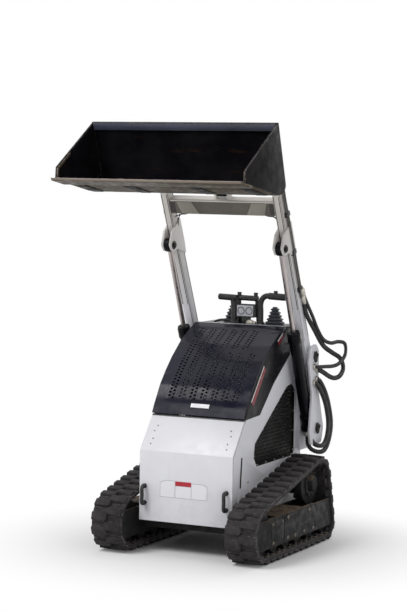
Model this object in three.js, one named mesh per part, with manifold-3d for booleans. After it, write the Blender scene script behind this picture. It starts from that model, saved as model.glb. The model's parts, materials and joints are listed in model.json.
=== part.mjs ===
// A compact track loader with its lift arms raised.
// Millimetres; +Z up, the machine faces -Y, +X is its left side, z = 0 is the ground.
// The origin ends up under the middle of the whole machine's box.
import * as THREE from 'three';
import { mergeVertices } from 'three/addons/utils/BufferGeometryUtils.js';
import Module from 'manifold-3d';

const wasm = await Module();
wasm.setup();

// ---------------------------------------------------------------- driving dimensions
const SEAT_GAP = 0.3;            // between pieces that rest on each other
const MOVE_GAP = 6;              // between moving pieces and what they pass
const PIN_GAP = 0.5;             // radial, round a pin
const WHEEL_GAP = 0.9;           // radial, between a wheel and the flats of its belt
const SHEET = 6;                 // body sheet metal
const PLATE = 12;                // structural plate

const BODY_HALF = 290;           // half the body's width
const FLOOR_Z = 184;             // underside of the body
const NOSE_TOP_Z = 582;          // where the upright front meets the sloped front
const HOOD_FRONT = [147, 771];   // lower front edge of the hood
const DECK_Y = 705;              // front edge of the control deck
const DECK_Z = 1258;             // top of the control deck
const REAR_Y = 940;              // front face of the rear panel
const TUB_WALL_TOP = 470;
const CROSS_TUBE_YS = [120, 640];

const TRACK_IN = BODY_HALF + 31; // inner face of a track
const TRACK_OUT = TRACK_IN + 190;   // outer face of a track
const LUG_HEIGHT = 20;
const BELT_THICK = 22;
const LUG_COUNT = 34;
const FRONT_IDLER = { y: -5, z: 170, r: 170 };   // r reaches the lug tips
const SPROCKET = { y: 745, z: 350, r: 168 };
const REAR_IDLER = { y: 873, z: 105, r: 105 };
const ROLLER_R = 48;
const ROLLER_YS = [165, 330, 495, 660];
const AXLE_R = 16;
const FRAME_ZS = [86, 245];      // lower and upper edge of the track frame

const ARM_X = BODY_HALF + 64;    // middle of an arm and of its cylinder
const ARM_WIDTH = 42;
const ARM_DEPTH = 75;
const TIP_DEPTH = 62;
const ARM_PIVOT = [848, 1080];
const ARM_KNEE = [311, 2231];
const BUCKET_PIVOT = [35, 2235];
const ARM_HUB_R = 48;
const TIP_HUB_R = 31;
const ARM_PIN_R = 16;
const BUCKET_PIN_R = 14;
const CROSS_ALONG = 967;         // crossmember's distance from the arm pivot
const CROSS_HEIGHT = 88;
const CROSS_DEPTH = 50;

const LIFT_BASE = [895, 655];
const LIFT_EYE = [450, 1722];
const LIFT_BARREL_R = 33;
const LIFT_BARREL_LENGTH = 628;
const LIFT_ROD_R = 14.5;
const LIFT_STROKE = 481;
const LIFT_EYE_R = 27;
const LIFT_BASE_R = 31;

const TILT_BARREL_R = 27;
const TILT_BARREL_LENGTH = 292;
const TILT_ROD_R = 12;
const TILT_STROKE = 160;
const TILT_EYE_R = 23;
const TILT_STEM_R = 8;           // the eye's stem, which runs in the end of the rod
const TILT_ROD_END = 402;        // from the base pin to the open end of the rod
const TILT_STEM_DEPTH = 68;      // how far the stem reaches into the rod
const TILT_STEM_TRAVEL = 30;     // free bore behind the stem
const TILT_EYE_HALF = 12;
const TILT_CRANK = 88;           // bucket pivot to tilt pin
const TILT_CRANK_ANGLE = 73.7;   // degrees from the rearward direction, upwards

const BUCKET_HALF = 569;
const BUCKET_WALL = 8;
const BUCKET_TOP = [-90, 2422];
const BUCKET_HEEL_REAR = [27, 2076];
const BUCKET_HEEL_FRONT = [-86, 2031];
const BUCKET_LIP = [-502, 2100];
const BUCKET_CORNER = [-496, 2166];
const EDGE_THICK = 14;
const EDGE_DEPTH = 150;
const EDGE_OVERHANG = 52;

const PLATFORM_HALF = 235;
const PLATFORM_LENGTH = 330;
const PLATFORM_HINGE = [990, 236];
const PLATFORM_PIN_R = 10;
const HOSE_R = 13;

// ---------------------------------------------------------------- finishes
const finish = (color, roughness, metalness = 0) => ({ color, roughness, metalness });
const WHITE = finish(0xe9ebee, 0.45);
const BLACK = finish(0x17171b, 0.42);
const BLACK_STEEL = finish(0x1d1c1d, 0.55, 0.3);
const RUBBER = finish(0x2b2a29, 0.85);
const CHROME = finish(0xb9b0ae, 0.25, 1);
const STEEL = finish(0x8b8784, 0.45, 0.9);
const GREY = finish(0x9a9c9e, 0.6);

// ---------------------------------------------------------------- solids from three.js shapes
function toSolid(geometry) {
  const plain = geometry.clone();
  plain.deleteAttribute('normal');
  plain.deleteAttribute('uv');
  const merged = mergeVertices(plain, 1e-4);
  return new wasm.Manifold(new wasm.Mesh({
    numProp: 3,
    vertProperties: new Float32Array(merged.attributes.position.array),
    triVerts: new Uint32Array(merged.index.array),
  }));
}

function toGeometry(solid) {
  const mesh = solid.getMesh();
  const geometry = new THREE.BufferGeometry();
  geometry.setAttribute('position', new THREE.BufferAttribute(new Float32Array(mesh.vertProperties), 3));
  geometry.setIndex(new THREE.BufferAttribute(new Uint32Array(mesh.triVerts), 1));
  geometry.computeVertexNormals();
  return geometry;
}

const join = (...solids) => solids.reduce((whole, piece) => whole.add(piece));
const cut = (solid, ...tools) => tools.reduce((left, tool) => left.subtract(tool), solid);

// The span [near, far] from the middle, on the left (+1) or right (-1) side.
const span = (side, near, far) => (side > 0 ? [near, far] : [-far, -near]);

const toVectors = (points) => points.map(([y, z]) => new THREE.Vector2(y, z));

// An outline in the Y-Z plane, pushed along X from xs[0] to xs[1].
function profile(points, xs, holes = []) {
  const shape = new THREE.Shape(toVectors(points));
  for (const hole of holes) shape.holes.push(new THREE.Path(toVectors(hole)));
  const geometry = new THREE.ExtrudeGeometry(shape, { depth: xs[1] - xs[0], bevelEnabled: false });
  const turn = new THREE.Matrix4().makeBasis(
    new THREE.Vector3(0, 1, 0), new THREE.Vector3(0, 0, 1), new THREE.Vector3(1, 0, 0));
  geometry.applyMatrix4(turn);
  geometry.translate(xs[0], 0, 0);
  return toSolid(geometry);
}

function box(xs, ys, zs) {
  const geometry = new THREE.BoxGeometry(xs[1] - xs[0], ys[1] - ys[0], zs[1] - zs[0]);
  geometry.translate((xs[0] + xs[1]) / 2, (ys[0] + ys[1]) / 2, (zs[0] + zs[1]) / 2);
  return toSolid(geometry);
}

// A round bar along X.
function bar([y, z], radius, xs, sides = 16) {
  const geometry = new THREE.CylinderGeometry(radius, radius, xs[1] - xs[0], sides);
  geometry.rotateZ(Math.PI / 2);
  geometry.translate((xs[0] + xs[1]) / 2, y, z);
  return toSolid(geometry);
}

// A round bar between two points.
function rod(from, to, radius, sides = 16) {
  const start = new THREE.Vector3(...from);
  const along = new THREE.Vector3(...to).sub(start);
  const geometry = new THREE.CylinderGeometry(radius, radius, along.length(), sides);
  const turn = new THREE.Quaternion().setFromUnitVectors(
    new THREE.Vector3(0, 1, 0), along.clone().normalize());
  geometry.applyQuaternion(turn);
  geometry.translate(...start.addScaledVector(along, 0.5).toArray());
  return toSolid(geometry);
}

// A round tube or hose through a list of points.
function hose(points, radius, { sides = 8, steps = 20 } = {}) {
  const path = new THREE.CatmullRomCurve3(points.map((p) => new THREE.Vector3(...p)), false,
    'catmullrom', 0.5);
  const ring = new THREE.Shape();
  ring.absarc(0, 0, radius, 0, 2 * Math.PI);
  const geometry = new THREE.ExtrudeGeometry(ring, {
    steps, curveSegments: sides / 2, extrudePath: path, bevelEnabled: false });
  return toSolid(geometry);
}

// ---------------------------------------------------------------- plane geometry in Y-Z
const add2 = ([a, b], [c, d], k = 1) => [a + c * k, b + d * k];
const sub2 = ([a, b], [c, d]) => [a - c, b - d];
const length2 = ([a, b]) => Math.hypot(a, b);
const unit2 = (v) => [v[0] / length2(v), v[1] / length2(v)];
const left2 = ([a, b]) => [-b, a];
const polar2 = (radius, degrees) => [
  radius * Math.cos(THREE.MathUtils.degToRad(degrees)),
  radius * Math.sin(THREE.MathUtils.degToRad(degrees))];

// An outline with every corner rounded to the given radius (one value, or one per corner).
function rounded(points, radii, steps = 3) {
  const out = [];
  points.forEach((corner, i) => {
    const radius = Array.isArray(radii) ? radii[i] : radii;
    if (!radius) {
      out.push(corner);
      return;
    }
    const before = unit2(sub2(points[(i + points.length - 1) % points.length], corner));
    const after = unit2(sub2(points[(i + 1) % points.length], corner));
    const half = Math.acos(before[0] * after[0] + before[1] * after[1]) / 2;
    const reach = radius / Math.tan(half);
    const start = add2(corner, before, reach);
    const end = add2(corner, after, reach);
    for (let s = 0; s <= steps; s += 1) {
      const t = s / steps;
      const a = add2(start, sub2(corner, start), t);
      const b = add2(corner, sub2(end, corner), t);
      out.push(add2(a, sub2(b, a), t));
    }
  });
  return out;
}

// A straight bar of the given depth between two points, in the Y-Z plane.
function strip(from, to, depthFrom, depthTo = depthFrom) {
  const side = left2(unit2(sub2(to, from)));
  return [
    add2(from, side, -depthFrom / 2), add2(to, side, -depthTo / 2),
    add2(to, side, depthTo / 2), add2(from, side, depthFrom / 2)];
}

// A wall of the given thickness on the left of a line of points.
function wall(points, thickness) {
  const inner = points.map((point, i) => {
    const before = i > 0 ? left2(unit2(sub2(point, points[i - 1]))) : null;
    const after = i < points.length - 1 ? left2(unit2(sub2(points[i + 1], point))) : null;
    if (!before) return add2(point, after, thickness);
    if (!after) return add2(point, before, thickness);
    const middle = unit2(add2(before, after));
    return add2(point, middle, thickness / (middle[0] * before[0] + middle[1] * before[1]));
  });
  return [...points, ...inner.reverse()];
}

// The tight band round circles listed anticlockwise, as points with their distance along it.
function bandPoints(circles, shrink, arcStep = 0.2) {
  const points = [];
  circles.forEach((circle, i) => {
    const last = circles[(i + circles.length - 1) % circles.length];
    const next = circles[(i + 1) % circles.length];
    const tangent = (a, b) => {
      const apart = [b.y - a.y, b.z - a.z];
      return Math.atan2(apart[1], apart[0]) - Math.acos((a.r - b.r) / length2(apart));
    };
    const start = tangent(last, circle);
    let end = tangent(circle, next);
    while (end < start) end += 2 * Math.PI;
    const steps = Math.max(2, Math.ceil((end - start) / arcStep));
    for (let s = 0; s <= steps; s += 1) {
      const angle = start + (end - start) * s / steps;
      points.push([
        circle.y + (circle.r - shrink) * Math.cos(angle),
        circle.z + (circle.r - shrink) * Math.sin(angle)]);
    }
  });
  return points;
}

// Point and outward direction at a distance along a closed anticlockwise outline.
function alongOutline(points, distance) {
  let left = distance;
  for (let i = 0; ; i = (i + 1) % points.length) {
    const next = points[(i + 1) % points.length];
    const edge = sub2(next, points[i]);
    const size = length2(edge);
    if (left <= size) {
      const direction = unit2(edge);
      return { point: add2(points[i], direction, left), out: [direction[1], -direction[0]] };
    }
    left -= size;
  }
}

const outlineLength = (points) => points.reduce(
  (sum, point, i) => sum + length2(sub2(points[(i + 1) % points.length], point)), 0);

// ---------------------------------------------------------------- the scene graph
const machine = new THREE.Group();

function place(name, solid, look) {
  const mesh = new THREE.Mesh(toGeometry(solid), new THREE.MeshStandardMaterial(look));
  mesh.name = name;
  machine.add(mesh);
}

const SIDES = [['left', 1], ['right', -1]];

// ---------------------------------------------------------------- shared lines and places
const TUB_HALF = BODY_HALF - SHEET - SEAT_GAP;
const DOOR_TOP = [HOOD_FRONT[0] - 2, HOOD_FRONT[1] - 3];   // the door's hinge line
const DOOR_LINE = [DOOR_TOP, [0, NOSE_TOP_Z], [0, FLOOR_Z]];
const HOOD_LINE = [
  [HOOD_FRONT[0] - 8, HOOD_FRONT[1] + 12], [237, 934], [377, 1082], [485, 1161], [596, 1222],
  [DECK_Y - 20, DECK_Z + 6]];
const SKIRT_LINE = [[168, 771], [353, 780], [536, 943], [759, 1091], [786, 1217]];
const HOOD_LIFT = MOVE_GAP + SHEET;      // skirt tops lie this far under the hood's outside
const HOOD_INSIDE = HOOD_LINE.map((point, i) => {
  const from = HOOD_LINE[Math.max(0, i - 1)];
  const to = HOOD_LINE[Math.min(HOOD_LINE.length - 1, i + 1)];
  return add2(point, left2(unit2(sub2(to, from))), -HOOD_LIFT);
});

const armLine = unit2(sub2(ARM_KNEE, ARM_PIVOT));
const armFront = left2(armLine);         // out of the arm's front face
const CROSS_MIDDLE = add2(add2(ARM_PIVOT, armLine, CROSS_ALONG), armFront,
  -(ARM_DEPTH - CROSS_DEPTH) / 2);
const TILT_BASE = add2(add2(CROSS_MIDDLE, armLine, CROSS_HEIGHT / 2 + 40), armFront, 4);
const TILT_PIN = add2(BUCKET_PIVOT, polar2(TILT_CRANK, TILT_CRANK_ANGLE));

// ---------------------------------------------------------------- chassis
function chassisTub() {
  const outer = box([-TUB_HALF, TUB_HALF], [SHEET + MOVE_GAP, REAR_Y], [FLOOR_Z, TUB_WALL_TOP]);
  const inside = box([-TUB_HALF + SHEET, TUB_HALF - SHEET],
    [0, REAR_Y - SHEET], [FLOOR_Z + SHEET, TUB_WALL_TOP + 1]);
  const tubes = CROSS_TUBE_YS.map((y) => join(
    box([-TRACK_IN - 10, TRACK_IN + 10], [y, y + 70], [FLOOR_Z - 58, FLOOR_Z - SEAT_GAP]),
    box([-TUB_HALF + 20, TUB_HALF - 20], [y, y + 70], [FLOOR_Z - 20, FLOOR_Z + 1])));
  const braces = [-1, 1].map((side) => box(
    span(side, PLATFORM_HALF - 50, PLATFORM_HALF - 30), [REAR_Y - 2, PLATFORM_HINGE[0]],
    [PLATFORM_HINGE[1] - 34, PLATFORM_HINGE[1] + 34]));
  const tips = [-1, 1].map((side) => bar(
    PLATFORM_HINGE, 34, span(side, PLATFORM_HALF - 50, PLATFORM_HALF - 30)));
  const pin = bar(PLATFORM_HINGE, PLATFORM_PIN_R, [-PLATFORM_HALF + 6, PLATFORM_HALF - 6]);
  const doorStops = [-1, 1].map((side) => box(
    span(side, 200, 230), [SHEET + SEAT_GAP, SHEET + MOVE_GAP + 2], [FLOOR_Z, FLOOR_Z + 16]));
  return join(cut(outer, inside), ...tubes, ...braces, ...tips, ...doorStops, pin);
}

function sidePanel(side) {
  const behindDoor = wall(DOOR_LINE, SHEET + MOVE_GAP).slice(DOOR_LINE.length).reverse();
  const outline = [
    [REAR_Y, FLOOR_Z], [REAR_Y, DECK_Z - SHEET - SEAT_GAP],
    [DECK_Y + 90, DECK_Z - SHEET - SEAT_GAP], ...[...SKIRT_LINE].reverse(), ...behindDoor];
  return cut(profile(outline, span(side, TUB_HALF + SEAT_GAP, BODY_HALF)),
    profile(windowLine(0), span(side, TUB_HALF - 5, BODY_HALF + 5)),
    profile(strip([117, 561], [103, 399], 14), span(side, TUB_HALF - 5, BODY_HALF + 5)));
}

function windowLine(inset) {
  const points = [[820, 494], [842, 520], [838, 880], [790, 922], [715, 905], [290, 625],
    [276, 545], [318, 491]];
  const middle = [600, 680];
  return points.map((point) => add2(point, unit2(sub2(middle, point)), inset));
}

function sideSkirt(side) {
  const outline = [...SKIRT_LINE.map((point) => add2(point, [-0.6, 1.2], 0.5)),
    [DECK_Y + 60, DECK_Z - SHEET - SEAT_GAP], [DECK_Y - 4, DECK_Z - SHEET - SEAT_GAP],
    ...HOOD_INSIDE.slice(0, -1).reverse()];
  const xs = span(side, TUB_HALF + SEAT_GAP, BODY_HALF);
  return join(profile(outline, xs), profile(hoodStop(), xs));
}

// A rubber-block shape that the closed hood rests on.
function hoodStop() {
  const along = sub2(HOOD_LINE[2], HOOD_LINE[1]);
  const inward = left2(unit2(along));
  const at = (share, depth) => add2(add2(HOOD_LINE[1], along, share), inward, -depth);
  return [at(0.3, SHEET + SEAT_GAP), at(0.3, HOOD_LIFT + 8), at(0.5, HOOD_LIFT + 8),
    at(0.5, SHEET + SEAT_GAP)];
}

function sideGrille(side) {
  return profile(windowLine(-10), span(side, TUB_HALF - SEAT_GAP - 4, TUB_HALF - SEAT_GAP));
}

function tower(side) {
  const inner = span(side, ARM_X - 50, ARM_X - 38);
  const outer = span(side, ARM_X + 38, ARM_X + 50);
  const web = span(side, ARM_X - 39, ARM_X + 39);
  const innerLine = rounded([[862, 520], [1000, 520], [1040, 640], [935, 905], [915, 1130],
    [860, 1160], [800, 1140], [806, 1040], [862, 900]], 24);
  const outerLine = rounded([[825, 560], [985, 560], [1010, 650], [925, 890], [925, 1110],
    [880, 1152], [800, 1140], [778, 1060], [835, 860], [806, 640]], 26);
  const rearWeb = wall([[955, 590], [955, 760], [936, 870], [936, 1040]], PLATE);
  const foot = box(span(side, BODY_HALF + SEAT_GAP, ARM_X - 45), [864, 915], [535, 1090]);
  const ends = span(side, ARM_X - 48, ARM_X + 62);
  return join(
    profile(innerLine, inner), profile(outerLine, outer), profile(rearWeb, web), foot,
    bar(ARM_PIVOT, ARM_PIN_R, ends), bar(LIFT_BASE, ARM_PIN_R, ends),
    bar(ARM_PIVOT, 34, span(side, ARM_X + 49, ARM_X + 58)),
    bar(LIFT_BASE, 34, span(side, ARM_X + 49, ARM_X + 58)));
}

place('chassis_tub', chassisTub(), BLACK_STEEL);
place('engine_block', box([-210, 210], [300, 800],
  [FLOOR_Z + SHEET + SEAT_GAP, FLOOR_Z + SHEET + 500]), GREY);
place('rear_panel', box([-TUB_HALF, TUB_HALF], [REAR_Y - SHEET, REAR_Y],
  [TUB_WALL_TOP + SEAT_GAP, DECK_Z - SHEET - SEAT_GAP]), WHITE);
place('control_deck', box([-BODY_HALF, BODY_HALF], [DECK_Y, REAR_Y], [DECK_Z - SHEET, DECK_Z]), BLACK);
for (const [word, side] of SIDES) {
  place(`${word}_side_panel`, sidePanel(side), WHITE);
  place(`${word}_side_skirt`, sideSkirt(side), BLACK);
  place(`${word}_side_grille`, sideGrille(side), BLACK);
  place(`${word}_tower`, tower(side), WHITE);
}

// ---------------------------------------------------------------- controls
const LEVER_Y = 760;
const DECK_TOP = DECK_Z + SEAT_GAP;

function bellows(x, y, topZ) {
  const steps = 5;
  const line = [[0, DECK_TOP]];
  for (let i = 0; i < steps; i += 1) {
    const low = DECK_TOP + (topZ - DECK_TOP) * i / steps;
    const high = DECK_TOP + (topZ - DECK_TOP) * (i + 0.6) / steps;
    const radius = 58 - 40 * i / (steps - 1);
    line.push([radius, low], [radius, high]);
    if (i < steps - 1) line.push([radius - 14, high + 6]);
  }
  line.push([0, line[line.length - 1][1]]);
  const geometry = new THREE.LatheGeometry(toVectors(line), 14);
  geometry.rotateX(Math.PI / 2);
  geometry.translate(x, y, 0);
  return toSolid(geometry);
}

const BOOT_TOP = DECK_Z + 118;
place('left_lever_boot', bellows(190, LEVER_Y, BOOT_TOP), RUBBER);
place('right_lever_boot', bellows(-115, LEVER_Y + 80, BOOT_TOP), RUBBER);
place('left_control_handle', hose([
  [99, LEVER_Y, DECK_TOP], [99, LEVER_Y, 1330], [99, LEVER_Y, 1395], [121, LEVER_Y, 1424],
  [171, LEVER_Y, 1430], [253, LEVER_Y, 1426]], 16, { steps: 14 }), BLACK);
place('right_control_handle', hose([
  [-76, LEVER_Y, DECK_TOP], [-76, LEVER_Y, 1330], [-81, LEVER_Y, 1390], [-109, LEVER_Y, 1412],
  [-139, LEVER_Y, 1414], [-175, LEVER_Y, 1412]], 16, { steps: 14 }), BLACK);
place('cross_handle', join(
  rod([-51, LEVER_Y + 45, DECK_TOP], [-51, LEVER_Y + 45, 1445], 13),
  rod([-51, LEVER_Y + 45, 1410], [75, LEVER_Y + 45, 1410], 16)), BLACK);
place('gauge_box', box([-58, 60], [LEVER_Y - 4, LEVER_Y + 24], [DECK_TOP, 1376]), BLACK);
place('fuel_cap', rod([44, DECK_Y + 26, DECK_TOP], [44, DECK_Y + 26, DECK_TOP + 24], 22), STEEL);

// ---------------------------------------------------------------- tracks
const BAND = [REAR_IDLER, SPROCKET, FRONT_IDLER];
const BELT_INSIDE = LUG_HEIGHT + BELT_THICK;

function trackBelt(side) {
  const xs = span(side, TRACK_IN, TRACK_OUT);
  const carcass = profile(bandPoints(BAND, LUG_HEIGHT), xs, [bandPoints(BAND, BELT_INSIDE)]);
  const line = bandPoints(BAND, LUG_HEIGHT);
  const pitch = outlineLength(line) / LUG_COUNT;
  const lugs = Array.from({ length: LUG_COUNT }, (_, i) => {
    const { point, out } = alongOutline(line, (i + 0.5) * pitch);
    const along = left2(out);
    const foot = pitch * 0.32;
    const top = pitch * 0.24;
    return profile([
      add2(add2(point, along, -foot), out, -BELT_THICK / 2),
      add2(add2(point, along, -top), out, LUG_HEIGHT),
      add2(add2(point, along, top), out, LUG_HEIGHT),
      add2(add2(point, along, foot), out, -BELT_THICK / 2),
    ].reverse(), xs);
  });
  const ground = box([xs[0] - 1, xs[1] + 1], [-400, 1300], [-400, 0]);
  return cut(join(carcass, ...lugs), ground);
}

function trackFrame(side) {
  const outerPlate = span(side, TRACK_OUT - 24, TRACK_OUT - 12);
  const innerPlate = span(side, TRACK_IN + 10 + SEAT_GAP, TRACK_IN + 22);
  const inside = bandPoints(BAND, BELT_INSIDE + MOVE_GAP, 0.4);
  const beam = (xs) => profile(inside, xs).intersect(box([xs[0] - 1, xs[1] + 1], [-400, 1400], FRAME_ZS));
  const across = span(side, TRACK_IN + 21, TRACK_OUT - 23);
  const deck = box(across, [180, 560], [FRAME_ZS[1] - 22, FRAME_ZS[1]]);
  const axles = [
    ...ROLLER_YS.map((y) => [y, BELT_INSIDE + SEAT_GAP + ROLLER_R]),
    [FRONT_IDLER.y, FRONT_IDLER.z], [REAR_IDLER.y, REAR_IDLER.z],
  ].map((point) => bar(point, AXLE_R, across, 10));
  const rollers = ROLLER_YS.map((y) => bar(
    [y, BELT_INSIDE + SEAT_GAP + ROLLER_R], ROLLER_R, span(side, TRACK_IN + 40, TRACK_OUT - 40)));
  const rear = bar([REAR_IDLER.y, REAR_IDLER.z], REAR_IDLER.r - BELT_INSIDE - WHEEL_GAP,
    span(side, TRACK_IN + 40, TRACK_OUT - 40), 20);
  return join(beam(outerPlate), beam(innerPlate), deck, ...axles, ...rollers, rear);
}

function driveSprocket(side) {
  const middle = [SPROCKET.y, SPROCKET.z];
  const rim = SPROCKET.r - BELT_INSIDE - WHEEL_GAP;
  return join(
    bar(middle, rim, span(side, ARM_X + 40, ARM_X + 84), 24),
    bar(middle, 68, span(side, BODY_HALF + SEAT_GAP, ARM_X + 41)),
    bar(middle, 48, span(side, ARM_X + 83, ARM_X + 104)));
}

function frontIdler(side) {
  const middle = [FRONT_IDLER.y, FRONT_IDLER.z];
  const xs = span(side, TRACK_IN + 45, TRACK_OUT - 45);
  const wheel = bar(middle, FRONT_IDLER.r - BELT_INSIDE - WHEEL_GAP, xs, 32);
  return cut(wheel, bar(middle, AXLE_R + PIN_GAP, [xs[0] - 5, xs[1] + 5], 10));
}

for (const [word, side] of SIDES) {
  place(`${word}_track_belt`, trackBelt(side), RUBBER);
  place(`${word}_track_frame`, trackFrame(side), BLACK_STEEL);
  place(`${word}_drive_sprocket`, driveSprocket(side), BLACK_STEEL);
  place(`${word}_front_idler`, frontIdler(side), BLACK_STEEL);
}

// ---------------------------------------------------------------- lids
function doorHandle(side) {
  const x = side * (BODY_HALF - 35);
  return hose([
    [x, -SEAT_GAP, 286], [x, -12, 286], [x, -27, 291], [x, -34, 306], [x, -34, 332], [x, -34, 358],
    [x, -27, 373], [x, -12, 378], [x, -SEAT_GAP, 378]], 6.5, { steps: 14 });
}

place('front_door', profile(wall(DOOR_LINE, SHEET), [-BODY_HALF, BODY_HALF]), WHITE);
for (const [word, side] of SIDES) place(`${word}_door_handle`, doorHandle(side), BLACK);
place('hood', profile(wall([...HOOD_LINE].reverse(), SHEET), [-BODY_HALF, BODY_HALF]), BLACK);

// ---------------------------------------------------------------- lift arms
function liftArm(side) {
  const xs = span(side, ARM_X - ARM_WIDTH / 2, ARM_X + ARM_WIDTH / 2);
  const hub = span(side, ARM_X - 36, ARM_X + 36);
  const gusset = [add2(ARM_KNEE, armLine, -150), add2(ARM_KNEE, [-150, 0]), ARM_KNEE];
  const ear = rounded([[526, 1878], [430, 1800], [405, 1722], [440, 1682], [500, 1700],
    [611, 1673], [590, 1740]], [0, 16, 20, 20, 16, 0, 0]);
  const body = join(
    profile(strip(ARM_PIVOT, ARM_KNEE, ARM_DEPTH), xs),
    profile(strip(ARM_KNEE, BUCKET_PIVOT, ARM_DEPTH, TIP_DEPTH), xs),
    profile(gusset, xs), bar(ARM_KNEE, ARM_DEPTH / 2, xs),
    bar(BUCKET_PIVOT, TIP_HUB_R, xs), bar(ARM_PIVOT, ARM_HUB_R, hub),
    profile(ear, span(side, ARM_X - 31, ARM_X - 19)), profile(ear, span(side, ARM_X + 19, ARM_X + 31)));
  return cut(body,
    bar(ARM_PIVOT, ARM_PIN_R + PIN_GAP, span(side, ARM_X - 60, ARM_X + 60)),
    bar(BUCKET_PIVOT, BUCKET_PIN_R + PIN_GAP, span(side, ARM_X - 60, ARM_X + 60)));
}

function crossmember() {
  const reach = ARM_X - ARM_WIDTH / 2 - SEAT_GAP;
  const from = add2(CROSS_MIDDLE, armLine, -CROSS_HEIGHT / 2);
  const to = add2(CROSS_MIDDLE, armLine, CROSS_HEIGHT / 2);
  const lug = rounded([
    add2(to, armFront, 24), add2(TILT_BASE, polar2(26, 150)), add2(TILT_BASE, polar2(30, 90)),
    add2(TILT_BASE, polar2(26, 30)), add2(to, armFront, -24), add2(from, armFront, 0)], 0);
  const plates = [-1, 1].map((side) => profile(lug, span(side, 34, 46)));
  return join(profile(strip(from, to, CROSS_DEPTH), [-reach, reach]), ...plates,
    bar(TILT_BASE, 12, [-52, 52]));
}

for (const [word, side] of SIDES) place(`${word}_lift_arm`, liftArm(side), WHITE);
place('arm_crossmember', crossmember(), WHITE);

// ---------------------------------------------------------------- cylinders
function pointOn(base, eye, distance) {
  return add2(base, unit2(sub2(eye, base)), distance);
}

function barrel(x, base, eye, { radius, length, boreR, bore, baseR, baseHalf, pinR }) {
  const at = (distance) => [x, ...pointOn(base, eye, distance)];
  return cut(
    join(rod(at(12), at(length), radius), rod(at(length - 40), at(length), radius + 3),
      bar(base, baseR, [x - baseHalf, x + baseHalf])),
    rod(at(length - bore), at(length + 5), boreR), bar(base, pinR + PIN_GAP, [x - 60, x + 60]));
}

function cylinderRod(x, base, eye, { radius, inside, eyeR, eyeHalf }) {
  return join(rod([x, ...pointOn(base, eye, inside)], [x, ...eye], radius),
    bar(eye, eyeR, [x - eyeHalf, x + eyeHalf]), bar(eye, 12, [x - eyeHalf - 2, x + eyeHalf + 2]));
}

for (const [word, side] of SIDES) {
  place(`${word}_lift_barrel`, barrel(side * ARM_X, LIFT_BASE, LIFT_EYE, {
    radius: LIFT_BARREL_R, length: LIFT_BARREL_LENGTH, boreR: LIFT_ROD_R + 0.5,
    bore: LIFT_BARREL_LENGTH - 55, baseR: LIFT_BASE_R, baseHalf: 30, pinR: ARM_PIN_R }), BLACK);
  place(`${word}_lift_rod`, cylinderRod(side * ARM_X, LIFT_BASE, LIFT_EYE, {
    radius: LIFT_ROD_R, inside: LIFT_STROKE + 62, eyeR: LIFT_EYE_R, eyeHalf: 11 }), CHROME);
}
place('tilt_barrel', barrel(0, TILT_BASE, TILT_PIN, {
  radius: TILT_BARREL_R, length: TILT_BARREL_LENGTH, boreR: TILT_ROD_R + 0.5,
  bore: TILT_BARREL_LENGTH - 45, baseR: 24, baseHalf: 27, pinR: 12 }), BLACK);

function tiltRod() {
  const at = (distance) => [0, ...pointOn(TILT_BASE, TILT_PIN, distance)];
  const boreFrom = TILT_ROD_END - TILT_STEM_DEPTH - TILT_STEM_TRAVEL;
  return cut(rod(at(TILT_STROKE + 55), at(TILT_ROD_END), TILT_ROD_R),
    rod(at(boreFrom), at(TILT_ROD_END + 5), TILT_STEM_R + PIN_GAP));
}

place('tilt_rod', tiltRod(), CHROME);
place('tilt_clevis', cylinderRod(0, TILT_BASE, TILT_PIN, {
  radius: TILT_STEM_R, inside: TILT_ROD_END - TILT_STEM_DEPTH, eyeR: TILT_EYE_R,
  eyeHalf: TILT_EYE_HALF }), CHROME);

// ---------------------------------------------------------------- bucket and hitch
const backLine = unit2(sub2(BUCKET_TOP, BUCKET_HEEL_REAR));
const backOut = [backLine[1], -backLine[0]];        // rearwards, out of the bucket's back
const floorLine = unit2(sub2(BUCKET_LIP, BUCKET_HEEL_FRONT));
const floorDown = left2(floorLine);

function bucketShell() {
  const sheet = [BUCKET_LIP, BUCKET_HEEL_FRONT,
    add2(BUCKET_HEEL_FRONT, [70, 8]), BUCKET_HEEL_REAR, BUCKET_TOP];
  const outer = rounded(sheet, [0, 60, 30, 34, 0]);
  const side = [...outer, BUCKET_CORNER];
  const plates = [-1, 1].map((hand) => profile(side, span(hand, BUCKET_HALF - BUCKET_WALL, BUCKET_HALF)));
  const reach = BUCKET_HALF - 1;
  const rim = strip(add2(BUCKET_TOP, backOut, -12), add2(add2(BUCKET_TOP, backOut, -12), backLine, -38), 13);
  return join(profile(wall(outer, BUCKET_WALL), [-reach, reach]),
    profile([...rim].reverse(), [-reach, reach]), ...plates);
}

function cuttingEdge() {
  const front = add2(add2(BUCKET_LIP, floorLine, EDGE_OVERHANG), floorDown, SEAT_GAP);
  const rear = add2(front, floorLine, -EDGE_DEPTH);
  return profile([front, rear, add2(rear, floorDown, EDGE_THICK),
    add2(add2(front, floorLine, -EDGE_THICK), floorDown, EDGE_THICK)], [-BUCKET_HALF, BUCKET_HALF]);
}

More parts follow.
